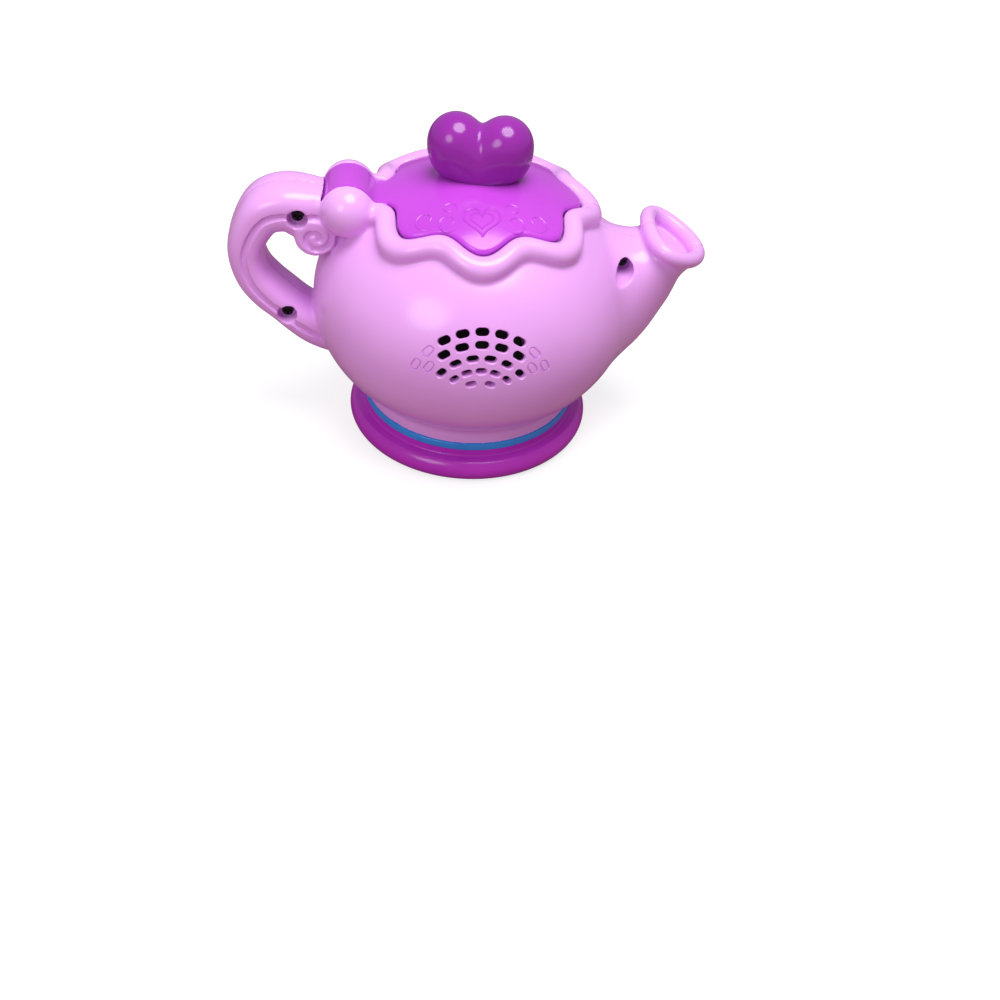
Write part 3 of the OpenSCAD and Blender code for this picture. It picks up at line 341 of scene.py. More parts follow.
def spout(p):
    """Distance to the spout with its rolled lip and the sunk floor of its mouth."""
    found = np.full(len(p), FAR)
    near = p[:, 0] > SPOUT_ZONE_X
    x, y, z = p[near].T
    level = np.cos(SPOUT_PATH[:, 2])
    steep = np.sin(SPOUT_PATH[:, 2])
    ahead = np.outer(x, level) + np.outer(z, steep)
    ahead = ahead - (SPOUT_PATH[:, 0] * level + SPOUT_PATH[:, 1] * steep)
    last = np.clip((ahead >= 0).sum(1) - 1, 0, len(SPOUT_PATH) - 2)
    rows = np.arange(len(x))
    step = ahead[rows, last] - ahead[rows, last + 1]
    share = np.clip(ahead[rows, last] / np.where(np.abs(step) < 1e-6, 1e-6, step), 0, 1)
    at = SPOUT_PATH[last] + share[:, None] * (SPOUT_PATH[last + 1] - SPOUT_PATH[last])
    up = -(x - at[:, 0]) * np.sin(at[:, 2]) + (z - at[:, 1]) * np.cos(at[:, 2])
    neck = smooth_max(section(up, y, at[:, 3], at[:, 4], 2.0), ahead[:, -1], NECK_END_EDGE)
    slope_up = -(x - MOUTH_X) * math.sin(MOUTH_TILT) + (z - MOUTH_Z) * math.cos(MOUTH_TILT)
    proud = (x - MOUTH_X) * math.cos(MOUTH_TILT) + (z - MOUTH_Z) * math.sin(MOUTH_TILT)
    off, side, _ = along_path(slope_up, y, MOUTH_PATH)
    inside = smooth_max(-side * off + LIP_R * MOUTH_WALL_SHARE, -(proud + MOUTH_DEPTH), MOUTH_CORNER)
    neck = smooth_max(neck, -inside, MOUTH_EDGE)
    lip = np.hypot(off, proud) - LIP_R
    found[near] = smooth_min(neck, lip, LIP_BLEND)
    return found


def bead(p):
    """Distance to the wavy bead around the lid opening."""
    angle = np.arctan2(p[:, 1], p[:, 0])
    held = np.clip(angle, -BEAD_END, BEAD_END)
    radius = lid_edge(held) + LID_GAP + BEAD_OFFSET
    height = belly_height(radius) + BEAD_LIFT
    swing = LID_WAVE * LID_LOBES * np.sin(LID_LOBES * held)
    square_on = radius / np.hypot(radius, swing)
    beside = (np.hypot(p[:, 0], p[:, 1]) - radius) * square_on
    past = radius * np.abs(angle - held)
    return np.sqrt(beside ** 2 + (p[:, 2] - height) ** 2 + past ** 2) - BEAD_R


def lid_plan(p, gap, half_neck):
    """Plan distance to the wavy lid with its neck, grown by gap."""
    angle = np.arctan2(p[:, 1], p[:, 0])
    edge = lid_edge(angle)
    swing = LID_WAVE * LID_LOBES * np.sin(LID_LOBES * angle)
    wavy = (np.hypot(p[:, 0], p[:, 1]) - edge - gap) * edge / np.hypot(edge, swing)
    neck = np.maximum(np.abs(p[:, 1]) - half_neck, np.maximum(HINGE_X + HINGE_R / 3 - p[:, 0], p[:, 0]))
    return np.minimum(wavy, neck)


# Blends between the pot's forms, soft edges of its openings, and the seam, which starts clear of the belly
SPOUT_FILLET = 9.0
COLLAR_BLEND = 2.5
HANDLE_BLEND = 2.5
BEAD_BLEND = 1.8
EAR_BLEND = 3.0
LID_ROOM_EDGE = 0.7
BARREL_ROOM_EDGE = 0.5
SEAM_DEPTH = 0.26
SEAM_W = 0.8
SEAM_START = 3.0
SEAM_FULL = 6.0


def pot(p):
    """Distance to the closed pot: belly, collar, spout, handle, bead and ears, with the lid's room."""
    x, y, z = p.T
    around = np.hypot(x, y)
    body = smooth_min(belly(p), np.maximum(around - FOOT_R, z - FOOT_Z - 2 * FOOT_H), COLLAR_BLEND)
    body = np.maximum(body, FOOT_Z - z)
    body = smooth_min(body, spout(p), SPOUT_FILLET)
    body = smooth_min(body, handle(p), HANDLE_BLEND)
    body = smooth_min(body, bead(p), BEAD_BLEND)
    ear = np.sqrt((x - HINGE_X) ** 2 + (np.abs(y) - ROOM_HALF) ** 2 + (z - HINGE_Z) ** 2) - HINGE_R
    body = smooth_min(body, ear, EAR_BLEND)
    body = body + SEAM_DEPTH * np.exp(-(y / SEAM_W) ** 2) * fade(SEAM_START, SEAM_FULL, belly(p))
    room = np.maximum(lid_plan(p, LID_GAP, ROOM_HALF), BODY_MID_Z + BODY_HALF_H / 2 - z)
    body = smooth_max(body, -room, LID_ROOM_EDGE)
    barrel = np.maximum(np.hypot(x - HINGE_X, z - HINGE_Z) - ROOM_R, np.abs(y) - ROOM_HALF)
    return smooth_max(body, -barrel, BARREL_ROOM_EDGE)


PARTING = 0.03
RECESS_EDGE = 0.6
BUTTON_HOLE_EDGE = 0.7
BUTTON_EDGE = 2.4


def rear_half(p):
    """Rear half of the pot, with the recesses over the screws."""
    body = pot(p)
    for screw_x, screw_z in SHELL_SCREWS:
        hole = np.hypot(p[:, 0] - screw_x, p[:, 2] - screw_z) - RECESS_R
        body = smooth_max(body, -np.maximum(hole, p[:, 1] + RECESS_SEAT), RECESS_EDGE)
    return np.maximum(body, p[:, 1] + PARTING)


HEART_HOLE = heart_outline(BUTTON_W + 2 * BUTTON_GAP)
HEART_BUTTON = heart_outline(BUTTON_W)


def heart_plan(p, outline):
    """Plan distance to a heart on the front."""
    found = np.full(len(p), FAR)
    near = (np.abs(p[:, 0]) < BUTTON_W) & (np.abs(p[:, 2] - BUTTON_Z) < BUTTON_W)
    x, z = p[near, 0], p[near, 2] - BUTTON_Z
    off = along_path(x, z, outline)[0]
    found[near] = np.where(inside_path(x, z, outline), -off, off)
    return found


def front_half(p):
    """Front half of the pot turned to the rear side, with the hole of the heart button."""
    body = pot(p)
    hole = np.maximum(heart_plan(p, HEART_HOLE), p[:, 1] + BODY_R / 2)
    return np.maximum(smooth_max(body, -hole, BUTTON_HOLE_EDGE), p[:, 1] + PARTING)


LID_EDGE_ROUND = 1.2
BARREL_CORNER = 0.6
BARREL_BLEND = 5.0


def lid_form(p):
    """Lid: piece of dome with a wavy edge, its skirt, and the hinge barrel that flows into it."""
    x, y, z = p.T
    top = belly(p, LID_RISE)
    dome = np.maximum(top, -belly(p, LID_RISE - LID_WALL))
    form = smooth_max(dome, lid_plan(p, 0.0, BARREL_HALF), LID_EDGE_ROUND)
    form = np.maximum(form, BODY_MID_Z - z)
    barrel = rounded_disc(np.hypot(x - HINGE_X, z - HINGE_Z), y, HINGE_R, BARREL_HALF, BARREL_CORNER)
    over = belly(p, LID_RISE - LID_WALL / 2) > 0
    form = smooth_min(form, barrel, np.where(over, BARREL_BLEND, BARREL_CORNER))
    around = np.hypot(x, y)
    skirt = np.maximum(np.abs(around - SKIRT_MID_R) - SKIRT_HALF_W, belly(p, LID_RISE - LID_WALL / 2))
    skirt = np.maximum(np.maximum(skirt, -belly(p, -WALL)), BODY_MID_Z - z)
    form = np.minimum(form, skirt)
    return np.maximum(form, PIN_HOLE_R - np.hypot(x - HINGE_X, z - HINGE_Z))


KNOB_TURN = math.radians(8)
KNOB_BOWL_LIFT = 6.0
KNOB_BOWL = (20.0, 11.5, 12.5)
KNOB_CLEFT_BLEND = 2.2
KNOB_BOWL_BLEND = 5.0
KNOB_SEAT_GAP = 0.05


def knob_form(p):
    """Fat heart, turned a little: two lobes over a bowl that narrows to its foot, and a soft cleft."""
    x, y, z = p.T
    across = x * math.cos(KNOB_TURN) - y * math.sin(KNOB_TURN)
    deep = x * math.sin(KNOB_TURN) + y * math.cos(KNOB_TURN)
    turned = np.stack([across, deep, z], axis=1)
    radii = (KNOB_LOBE_R, KNOB_LOBE_R, KNOB_LOBE_R)
    lobe_z = KNOB_Z + KNOB_H - KNOB_LOBE_R
    left, right = [ellipsoid(turned, (sign * KNOB_LOBE_X, 0, lobe_z), radii) for sign in (-1, 1)]
    bowl = ellipsoid(turned, (0, 0, KNOB_Z + KNOB_BOWL_LIFT), KNOB_BOWL)
    form = smooth_min(smooth_min(left, right, KNOB_CLEFT_BLEND), bowl, KNOB_BOWL_BLEND)
    return np.maximum(form, -belly(p, LID_RISE + KNOB_SEAT_GAP))


def button_form(p):
    """Heart button turned to the rear side: a heart with a soft rim that follows the belly."""
    form = smooth_max(heart_plan(p, HEART_BUTTON), belly(p, BUTTON_RISE), BUTTON_EDGE)
    return np.maximum(form, -belly(p, -3 * WALL))


# Meshes from distances

# Cells along a block's side, how far around a block the surface is looked for, blocks worked out at once
BLOCK = 8
REACH_SHARE = 1.3
REACH_EXTRA = 3.0
BATCH = 150
CORNERS = [(i, j, k) for i in (0, 1) for j in (0, 1) for k in (0, 1)]


def sampled(form, low, high, cell):
    """Distances on a grid over a box; blocks far from the surface keep one value each."""
    blocks = np.ceil((np.array(high) - low) / (cell * BLOCK)).astype(int)
    index = np.stack(np.meshgrid(*[np.arange(n) for n in blocks], indexing="ij"), axis=-1).reshape(-1, 3)
    middle = form(low + (index + 0.5) * BLOCK * cell)
    grid = middle.reshape(blocks).repeat(BLOCK, 0).repeat(BLOCK, 1).repeat(BLOCK, 2)
    grid = np.pad(grid, ((0, 1), (0, 1), (0, 1)), mode="edge")
    reach = BLOCK * cell * math.sqrt(3) / 2 * REACH_SHARE + REACH_EXTRA
    offsets = np.stack(np.meshgrid(*[np.arange(BLOCK + 1)] * 3, indexing="ij"), axis=-1).reshape(-1, 3)
    near = index[np.abs(middle) < reach]
    for start in range(0, len(near), BATCH):
        spots = (near[start:start + BATCH, None, :] * BLOCK + offsets[None, :, :]).reshape(-1, 3)
        grid[spots[:, 0], spots[:, 1], spots[:, 2]] = form(low + spots * cell)
    return grid


def crossings(grid):
    """One point in every grid cell that the surface passes through, and the cells' numbers."""
    inside = grid < 0
    shape = [n - 1 for n in grid.shape]
    count = np.zeros(shape, np.int8)
    for i, j, k in CORNERS:
        count += inside[i:i + shape[0], j:j + shape[1], k:k + shape[2]]
    cells = np.argwhere((count > 0) & (count < 8))
    numbers = np.full(shape, -1, np.int64)
    numbers[tuple(cells.T)] = np.arange(len(cells))
    total = np.zeros((len(cells), 3))
    hits = np.zeros(len(cells))
    for axis in range(3):
        along = np.eye(3, dtype=int)[axis]
        for corner in CORNERS:
            if corner[axis]:
                continue
            a = cells + np.array(corner)
            b = a + along
            at_a = grid[tuple(a.T)]
            at_b = grid[tuple(b.T)]
            crossed = (at_a < 0) != (at_b < 0)
            share = np.where(crossed, at_a / np.where(crossed, at_a - at_b, 1), 0)
            total += np.where(crossed[:, None], a + share[:, None] * along, 0)
            hits += crossed
    return total / hits[:, None], numbers, inside


def quads_between(numbers, inside):
    """Quads around every grid edge that the surface crosses, turned outwards."""
    quads = []
    for axis in range(3):
        b, c = (axis + 1) % 3, (axis + 2) % 3
        ahead = np.roll(inside, -1, axis)
        crossed = inside != ahead
        limits = [slice(1, -1)] * 3
        limits[axis] = slice(0, -1)
        spots = np.argwhere(crossed[tuple(limits)])
        spots[:, b] += 1
        spots[:, c] += 1
        step_b = np.eye(3, dtype=int)[b]
        step_c = np.eye(3, dtype=int)[c]
        ring = [spots - step_b - step_c, spots - step_c, spots, spots - step_b]
        quad = np.stack([numbers[tuple(r.T)] for r in ring], axis=1)
        outward = inside[tuple(spots.T)]
        quads.append(np.where(outward[:, None], quad, quad[:, ::-1]))
    return np.vstack(quads)


def onto_surface(form, points, cell, rounds=3):
    """Points moved along the slope of a distance until they lie on the surface."""
    probe = 0.1
    least_slope = 0.2
    for _ in range(rounds):
        value = form(points)
        slope = np.stack([form(points + probe * e) - form(points - probe * e) for e in np.eye(3)], axis=1)
        slope /= 2 * probe
        step = value[:, None] * slope / np.maximum((slope ** 2).sum(1), least_slope)[:, None]
        length = np.linalg.norm(step, axis=1)[:, None]
        points = points - step * np.minimum(1, 0.5 * cell / np.maximum(length, 1e-9))
    return points


def moulded(form, low, high, cell):
    """Points and quads of the surface on which a distance is zero."""
    low = np.array(low, float)
    grid = sampled(form, low, high, cell)
    points, numbers, inside = crossings(grid)
    return onto_surface(form, low + points * cell, cell), quads_between(numbers, inside)


def lathe_form(profile, steps):
    """Points and quads of a closed profile of radii and heights turned around the axis."""
    profile = np.array(profile, float)
    turn = np.linspace(0, 2 * math.pi, steps, endpoint=False)
    radius = np.outer(np.ones(steps), profile[:, 0])
    height = np.outer(np.ones(steps), profile[:, 1])
    points = np.stack([radius * np.cos(turn)[:, None], radius * np.sin(turn)[:, None], height], axis=-1)
    count = len(profile)
    i, j = np.meshgrid(np.arange(steps), np.arange(count), indexing="ij")
    following = (i + 1) % steps
    beside = (j + 1) % count
    here, there = i * count, following * count
    quads = np.stack([here + j, there + j, there + beside, here + beside], axis=-1)
    return points.reshape(-1, 3), quads.reshape(-1, 4)


def arc(middle_r, middle_z, radius, start, end, steps):
    """Points on an arc of a profile, angles in degrees from outwards, upwards positive."""
    angles = np.radians(np.linspace(start, end, steps + 1))
    return [(middle_r + radius * math.cos(a), middle_z + radius * math.sin(a)) for a in angles]


def loft(rings, closed=False):
    """Points and faces of a closed skin over rings; closed joins the last ring to the first."""
    count = len(rings[0])
    points = np.vstack(rings)
    spans = len(rings) if closed else len(rings) - 1
    faces = []
    for i in range(spans):
        this = i * count
        other = (i + 1) % len(rings) * count
        for j in range(count):
            k = (j + 1) % count
            faces.append((this + j, this + k, other + k, other + j))
    if not closed:
        faces.append(tuple(range(count - 1, -1, -1)))
        faces.append(tuple(range((len(rings) - 1) * count, len(rings) * count)))
    return points, faces


def joined(parts):
    """Points and faces of several meshes as one."""
    points = []
    faces = []
    offset = 0
    for part_points, part_faces in parts:
        points.append(np.array(part_points, float))
        faces.extend([tuple(int(i) + offset for i in face) for face in part_faces])
        offset += len(part_points)
    return np.vstack(points), faces


def new_piece(name, form, material=None):
    """Blender object from points in millimetres and faces."""
    points, faces = form
    mesh = bpy.data.meshes.new(name)
    mesh.from_pydata((np.array(points) * MM).tolist(), [], [tuple(int(i) for i in f) for f in faces])
    mesh.validate()
    mesh.update()
    piece = bpy.data.objects.new(name, mesh)
    bpy.context.scene.collection.objects.link(piece)
    if material:
        mesh.materials.append(material)
    return piece


def cut(piece, tool_form, operation="DIFFERENCE"):
    """Cuts a closed form out of a piece, or joins it, and keeps the result as the piece's mesh."""
    tool = new_piece("cutting_tool", tool_form)
    step = piece.modifiers.new("cut", "BOOLEAN")
    step.operation = operation
    step.solver = "MANIFOLD"
    step.object = tool
    bpy.context.view_layer.update()
    made = bpy.data.meshes.new_from_object(piece.evaluated_get(bpy.context.evaluated_depsgraph_get()))
    piece.modifiers.clear()
    piece.data = made
    bpy.data.objects.remove(tool)


def finish_piece(piece, body, nodes, sharp=35):
    """Shades a piece, hangs it on the body it rides on and hides the CAD nodes that it stands in for."""
    piece.data.shade_smooth()
    piece.data.set_sharp_from_angle(angle=math.radians(sharp))
    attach(piece, body)
    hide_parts(*nodes)
    return piece


# Materials

def linear(code):
    """Linear colour from an sRGB hex value."""
    parts = [int(code[i:i + 2], 16) / 255 for i in (1, 3, 5)]
    return [c / 12.92 if c <= 0.04045 else ((c + 0.055) / 1.055) ** 2.4 for c in parts] + [1.0]


def add_node(tree, kind, settings=None, **inputs):
    """Adds a node with its settings; an input is a value or the socket it is linked from."""
    node = tree.nodes.new(kind)
    for name, value in (settings or {}).items():
        setattr(node, name, value)
    for name, value in inputs.items():
        socket = node.inputs[int(name[1:])] if name[1:].isdigit() else node.inputs[name.replace("_", " ")]
        if isinstance(value, bpy.types.NodeSocket):
            tree.links.new(value, socket)
        else:
            socket.default_value = value
    return node


def new_material(name):
    """Material with a bare principled shader; returns it, its tree and the shader."""
    material = bpy.data.materials.new(name)
    material.use_nodes = True
    tree = material.node_tree
    return material, tree, tree.nodes["Principled BSDF"]


def two_tones(tree, pattern, low, low_code, high, high_code):
    """Colour that goes from one tone to another between two values of a pattern."""
    tone = add_node(tree, "ShaderNodeValToRGB", Fac=pattern.outputs["Fac"])
    for element, position, code in zip(tone.color_ramp.elements, (low, high), (low_code, high_code)):
        element.position = position
        element.color = linear(code)
    return tone.outputs["Color"]


# Sizes of the patterns on moulded ABS and on the screws, in millimetres
FLOW_CLOUD = 35
HANDLING_HAZE = 12
SKIN_WAVE = 5
SKIN_WAVE_H = 0.4
OXIDE_BLOTCH = 0.8

# Strength of the skin's waves, roughness that the haze adds, and refraction of ABS
SKIN_STRENGTH = 0.05
HAZE_ROUGHER = 0.04
ABS_IOR = 1.5


def moulded_abs(name, code, shade_code, gloss):
    """Glossy injection-moulded ABS: even colour with faint flow clouds, and a fine skin on the gloss."""
    material, tree, shader = new_material(name)
    place = add_node(tree, "ShaderNodeTexCoord").outputs["Object"]
    # Flow clouds, where the melt cooled unevenly
    clouds = add_node(tree, "ShaderNodeTexNoise", Vector=place, Scale=1 / (FLOW_CLOUD * MM), Detail=2.0)
    tree.links.new(two_tones(tree, clouds, 0.35, shade_code, 0.65, code), shader.inputs["Base Color"])
    # Handling haze on the gloss
    haze = add_node(tree, "ShaderNodeTexNoise", Vector=place, Scale=1 / (HANDLING_HAZE * MM), Detail=4.0)
    rough = add_node(tree, "ShaderNodeMapRange", Value=haze.outputs["Fac"])
    rough.inputs["From Min"].default_value = 0.3
    rough.inputs["From Max"].default_value = 0.7
    rough.inputs["To Min"].default_value = gloss
    rough.inputs["To Max"].default_value = gloss + HAZE_ROUGHER
    tree.links.new(rough.outputs["Result"], shader.inputs["Roughness"])
    # Slight waviness of a moulded skin
    skin = add_node(tree, "ShaderNodeTexNoise", Vector=place, Scale=1 / (SKIN_WAVE * MM), Detail=1.0)
    bump = add_node(tree, "ShaderNodeBump", Height=skin.outputs["Fac"], Strength=SKIN_STRENGTH)
    bump.inputs["Distance"].default_value = SKIN_WAVE_H * MM
    tree.links.new(bump.outputs["Normal"], shader.inputs["Normal"])
    shader.inputs["IOR"].default_value = ABS_IOR
    return material


def blackened_steel():
    """Blackened steel of the screws: dark oxide skin in faint blotches."""
    material, tree, shader = new_material("blackened_steel_screws")
    place = add_node(tree, "ShaderNodeTexCoord").outputs["Object"]
    blotch = add_node(tree, "ShaderNodeTexNoise", Vector=place, Scale=1 / (OXIDE_BLOTCH * MM), Detail=3.0)
    tree.links.new(two_tones(tree, blotch, 0.0, "#17151b", 1.0, "#3a373f"), shader.inputs["Base Color"])
    shader.inputs["Metallic"].default_value = 0.85
    shader.inputs["Roughness"].default_value = 0.38
    return material


def plain_part(name, low_code, high_code, grain, metallic, roughness):
    """Inner part: two close tones in grains of a given size in millimetres."""
    material, tree, shader = new_material(name)
    place = add_node(tree, "ShaderNodeTexCoord").outputs["Object"]
    speckle = add_node(tree, "ShaderNodeTexNoise", Vector=place, Scale=1 / (grain * MM), Detail=2.0)
    tree.links.new(two_tones(tree, speckle, 0.3, low_code, 0.7, high_code), shader.inputs["Base Color"])
    shader.inputs["Metallic"].default_value = metallic
    shader.inputs["Roughness"].default_value = roughness
    return material


pink_abs = moulded_abs("pink_abs_moulded", "#f1affa", "#eeaaf7", 0.2)
purple_abs = moulded_abs("purple_abs_moulded", "#c74adb", "#c044d5", 0.17)
heart_abs = moulded_abs("deep_purple_abs_moulded", "#9d2bab", "#9426a2", 0.14)
base_abs = moulded_abs("base_purple_abs_moulded", "#cf35d4", "#c72fcd", 0.2)
blue_abs = moulded_abs("blue_abs_moulded", "#35a0f5", "#2f94ea", 0.22)
screw_steel = blackened_steel()
bright_steel = plain_part("zinc_plated_steel_pressed", "#a9adb3", "#c7cad0", 1.5, 1.0, 0.32)
board_laminate = plain_part("green_lacquered_glass_laminate", "#1f6b3e", "#2f8250", 2.5, 0.0, 0.35)
black_resin = plain_part("black_phenolic_moulded", "#1b1a1e", "#2b2930", 1.2, 0.0, 0.45)
cone_paper = plain_part("black_cone_paper_pressed", "#201f22", "#343237", 0.6, 0.0, 0.85)
ferrite = plain_part("ferrite_magnet_ground", "#2a2a2d", "#3d3d41", 0.9, 0.1, 0.55)
cell_jacket = plain_part("cell_jacket_shrunk_film", "#8d929a", "#a9aeb6", 3.0, 0.6, 0.35)
milky_lamp = plain_part("milky_epoxy_lamp_cast", "#ece9e2", "#fbf9f4", 1.0, 0.0, 0.2)


# Pieces

# Boxes that hold the moulded forms, and the cell sizes of their meshes
HALF_BOX = ((-108.0, -75.0, 15.0), (104.0, 1.0, 126.0))
LID_BOX = ((-68.0, -47.0, 98.0), (47.0, 47.0, 126.0))
KNOB_BOX = ((-24.0, -15.0, 118.0), (24.0, 15.0, 154.0))
BUTTON_BOX = ((-19.0, -74.0, 48.0), (19.0, -55.0, 88.0))
HALF_CELL = 0.65
LID_CELL = 0.6
HEART_CELL = 0.5

# Steps around the turned pieces, and how far a cutting form reaches past a surface
ROUND_STEPS = 240
PAST = 1.0


def mirrored(form):
    """The same form on the other side of the parting plane."""
    points, quads = form
    return points * [1, -1, 1], quads[:, ::-1]


def hollow_form():
    """Room inside the belly, one wall in from its surface and open at the foot."""
    angles = np.linspace(-math.acos((FOOT_R - WALL) / (BODY_R - WALL)), math.radians(88), 60)
    inner = [((BODY_R - WALL) * math.cos(a), BODY_MID_Z + (BODY_HALF_H - WALL) * math.sin(a)) for a in angles]
    profile = [(0.01, FOOT_Z - 3), (FOOT_R - WALL, FOOT_Z - 3), *inner, (0.01, inner[-1][1])]
    return lathe_form(profile, 128)


def cross_post(x, z, half, radius, steps=48):
    """Round post across the pot."""
    turn = np.linspace(0, 2 * math.pi, steps, endpoint=False)
    rings = []
    for y in (half, -half):
        circle = [x + radius * np.cos(turn), np.full(steps, y), z + radius * np.sin(turn)]
        rings.append(np.stack(circle, axis=1))
    return loft(rings)


def belly_frame(x, z, turn):
    """Place on the rear of the belly with its outward direction and the slot's own directions."""
    y = -math.sqrt(float(belly_radius(z)) ** 2 - x * x)
    out = np.array([x / BODY_R ** 2, y / BODY_R ** 2, (z - BODY_MID_Z) / BODY_HALF_H ** 2])
    out /= np.linalg.norm(out)
    along = np.array([math.cos(turn), 0, -math.sin(turn)])
    along -= out * (along @ out)
    along /= np.linalg.norm(along)
    return np.array([x, y, z]), out, along, np.cross(out, along)


SLOT_ARC = 10


def slot_ring(place, straight, radius, height):
    """Round-ended slot outline at a height over the belly."""
    middle, out, along, across = place
    points = []
    for sign in (1, -1):
        for angle in np.linspace(-90, 90, SLOT_ARC + 1):
            a = math.radians(angle)
            u = sign * (straight + radius * math.cos(a))
            v = sign * radius * math.sin(a)
            points.append(middle + u * along + v * across + height * out)
    return np.array(points)


# Grille rows: drop and arc radius as shares of the grille width, pitch in degrees, marks in the row,
# how many of them are open, slot size share
GRILLE_ROWS = [
    (0.000, 0.577, 15.3, 9, 5, 1.0), (0.092, 0.500, 18, 7, 5, 1.0), (0.192, 0.404, 20, 6, 6, 0.9),
    (0.294, 0.298, 22, 5, 5, 0.8), (0.398, 0.210, 42, 2, 2, 0.8)]

# Cutters of an open slot and of a blind mark, ring by ring: height over the belly, growth of the outline
SLOT_LEVELS = [(-7.0, 0.0), (-0.6, 0.0), (-0.2, 0.14), (0.05, 0.42), (2.0, 1.2)]
MARK_LEVELS = [(2.0, 0.5), (-0.55, 0.05), (-0.55, -0.5), (2.0, -0.95)]


def grille_form():
    """Cutters of the grille: slots with soft rims, and shallow outlines at the ends of the rows."""
    parts = []
    for drop, bow, pitch, marks, open_marks, share in GRILLE_ROWS:
        for i in range(marks):
            place = i - (marks - 1) / 2
            turn = math.radians(place * pitch)
            x = bow * GRILLE_W * math.sin(turn)
            z = GRILLE_TOP - (drop + bow * (1 - math.cos(turn))) * GRILLE_W
            spot = belly_frame(x, z, turn)
            straight = (SLOT_L - SLOT_H) * share / 2
            radius = SLOT_H * share / 2
            is_open = abs(place) <= (open_marks - 1) / 2
            levels = SLOT_LEVELS if is_open else MARK_LEVELS
            rings = [slot_ring(spot, straight, radius + grow, height) for height, grow in levels]
            parts.append(loft(rings) if is_open else loft(rings[::-1], closed=True))
    return joined(parts)


def make_shells():
    """The two half shells with handle, spout, bead and ears."""
    hollow = new_piece("hollow_tool", hollow_form())
    cut(hollow, cross_post(HINGE_X, HINGE_Z, ROOM_HALF + WALL, ROOM_R + WALL))
    for screw_x, screw_z in SHELL_SCREWS:
        cut(hollow, cross_post(screw_x, screw_z, BODY_R, RECESS_R + WALL / 2))
    cut(hollow, box_form((-GRILLE_W / 2, -BODY_R - PAST, BODY_MID_Z - GRILLE_W / 2),
                         (GRILLE_W / 2, -GRILLE_BACK, GRILLE_TOP + 4)))
    room = np.empty(len(hollow.data.vertices) * 3)
    hollow.data.vertices.foreach_get("co", room)
    room_form = (room.reshape(-1, 3) / MM, [tuple(f.vertices) for f in hollow.data.polygons])
    bpy.data.objects.remove(hollow)
    rear = new_piece("rear_shell_moulding", moulded(rear_half, *HALF_BOX, HALF_CELL))
    cut(rear, room_form)
    cut(rear, grille_form())
    front = new_piece("front_shell_moulding", mirrored(moulded(front_half, *HALF_BOX, HALF_CELL)))
    cut(front, room_form)
    for piece, node in ((rear, "rear_shell"), (front, "front_shell")):
        piece.data.materials.clear()
        piece.data.materials.append(pink_abs)
        finish_piece(piece, "pot", [node])


# Raised lines: sides of their section, share of the radius that they are sunk, their thickness at open ends
# and the share of their length over which it grows to the full one
RELIEF_SIDES = 8
RELIEF_SINK = 0.35
RELIEF_TIP = 0.35
RELIEF_TAPER = 0.25


def relief_line(path, radius, closed):
    """Raised half-round line on the lid along a plan path."""
    path = np.array(path, float)
    count = len(path)
    height = belly_height(np.hypot(path[:, 0], path[:, 1]), LID_RISE)
    line = np.column_stack([path, height - RELIEF_SINK * radius])
    ahead = np.roll(line, -1, 0) - np.roll(line, 1, 0)
    if not closed:
        ahead[0] = line[1] - line[0]
        ahead[-1] = line[-1] - line[-2]
    ahead /= np.linalg.norm(ahead, axis=1)[:, None]
    out = line - [0, 0, BODY_MID_Z]
    out /= np.linalg.norm(out, axis=1)[:, None]
    beside = np.cross(ahead, out)
    beside /= np.linalg.norm(beside, axis=1)[:, None]
    rings = []
    for i in range(count):
        inwards = min(i, count - 1 - i) / (RELIEF_TAPER * count)
        end = 1.0 if closed else min(1.0, RELIEF_TIP + (1 - RELIEF_TIP) * inwards)
        turn = np.linspace(0, 2 * math.pi, RELIEF_SIDES, endpoint=False)
        rings.append(line[i] + radius * end * (
            np.outer(np.cos(turn), beside[i]) + np.outer(np.sin(turn), out[i])))
    return loft(rings, closed)


ORNAMENT_Y = -30.0


def scroll_curve(start, middle, first_r, last_r, start_deg, sweep_deg):
    """Stem that leaves a point and winds around a middle."""
    share = np.linspace(0, 1, 36)
    angle = np.radians(start_deg + sweep_deg * share)
    radius = first_r + (last_r - first_r) * share
    curl = np.stack([middle[0] + radius * np.cos(angle), middle[1] + radius * np.sin(angle)], axis=1)
    return np.vstack([[start], curl])


def lid_ornament():
    """Double heart with scrollwork to both sides, raised on the lid over the grille."""
    parts = []
    for width, radius in ((15.0, 0.6), (9.0, 0.5)):
        heart = heart_outline(width, 72)[:-1]
        parts.append(relief_line(heart + [0, ORNAMENT_Y], radius, True))
    for sign in (-1, 1):
        curves = [
            (scroll_curve((8.6, -34.0), (13.4, -30.6), 5.0, 1.4, 215, 400), 0.5),
            (scroll_curve((9.4, -27.0), (13.0, -23.6), 3.6, 1.0, 225, -400), 0.45),
            (scroll_curve((18.0, -33.0), (22.4, -27.6), 5.4, 1.2, 230, 380), 0.5)]
        for curve, radius in curves:
            parts.append(relief_line(curve * [sign, 1], radius, False))
    return parts


def make_lid():
    """Lid with its barrel and raised ornament, and the heart knob on it."""
    dome = moulded(lid_form, *LID_BOX, LID_CELL)
    lid = new_piece("lid_moulding", joined([dome, *lid_ornament()]), purple_abs)
    finish_piece(lid, "lid", ["lid"], 40)
    knob = new_piece("heart_knob_moulding", moulded(knob_form, *KNOB_BOX, HEART_CELL), heart_abs)
    finish_piece(knob, "lid", ["lid_knob"], 40)


def make_button():
    """Heart button on the front with a soft rim."""
    form = mirrored(moulded(button_form, *BUTTON_BOX, HEART_CELL))
    button = new_piece("heart_button_moulding", form, heart_abs)
    finish_piece(button, "button", ["heart_button"], 40)


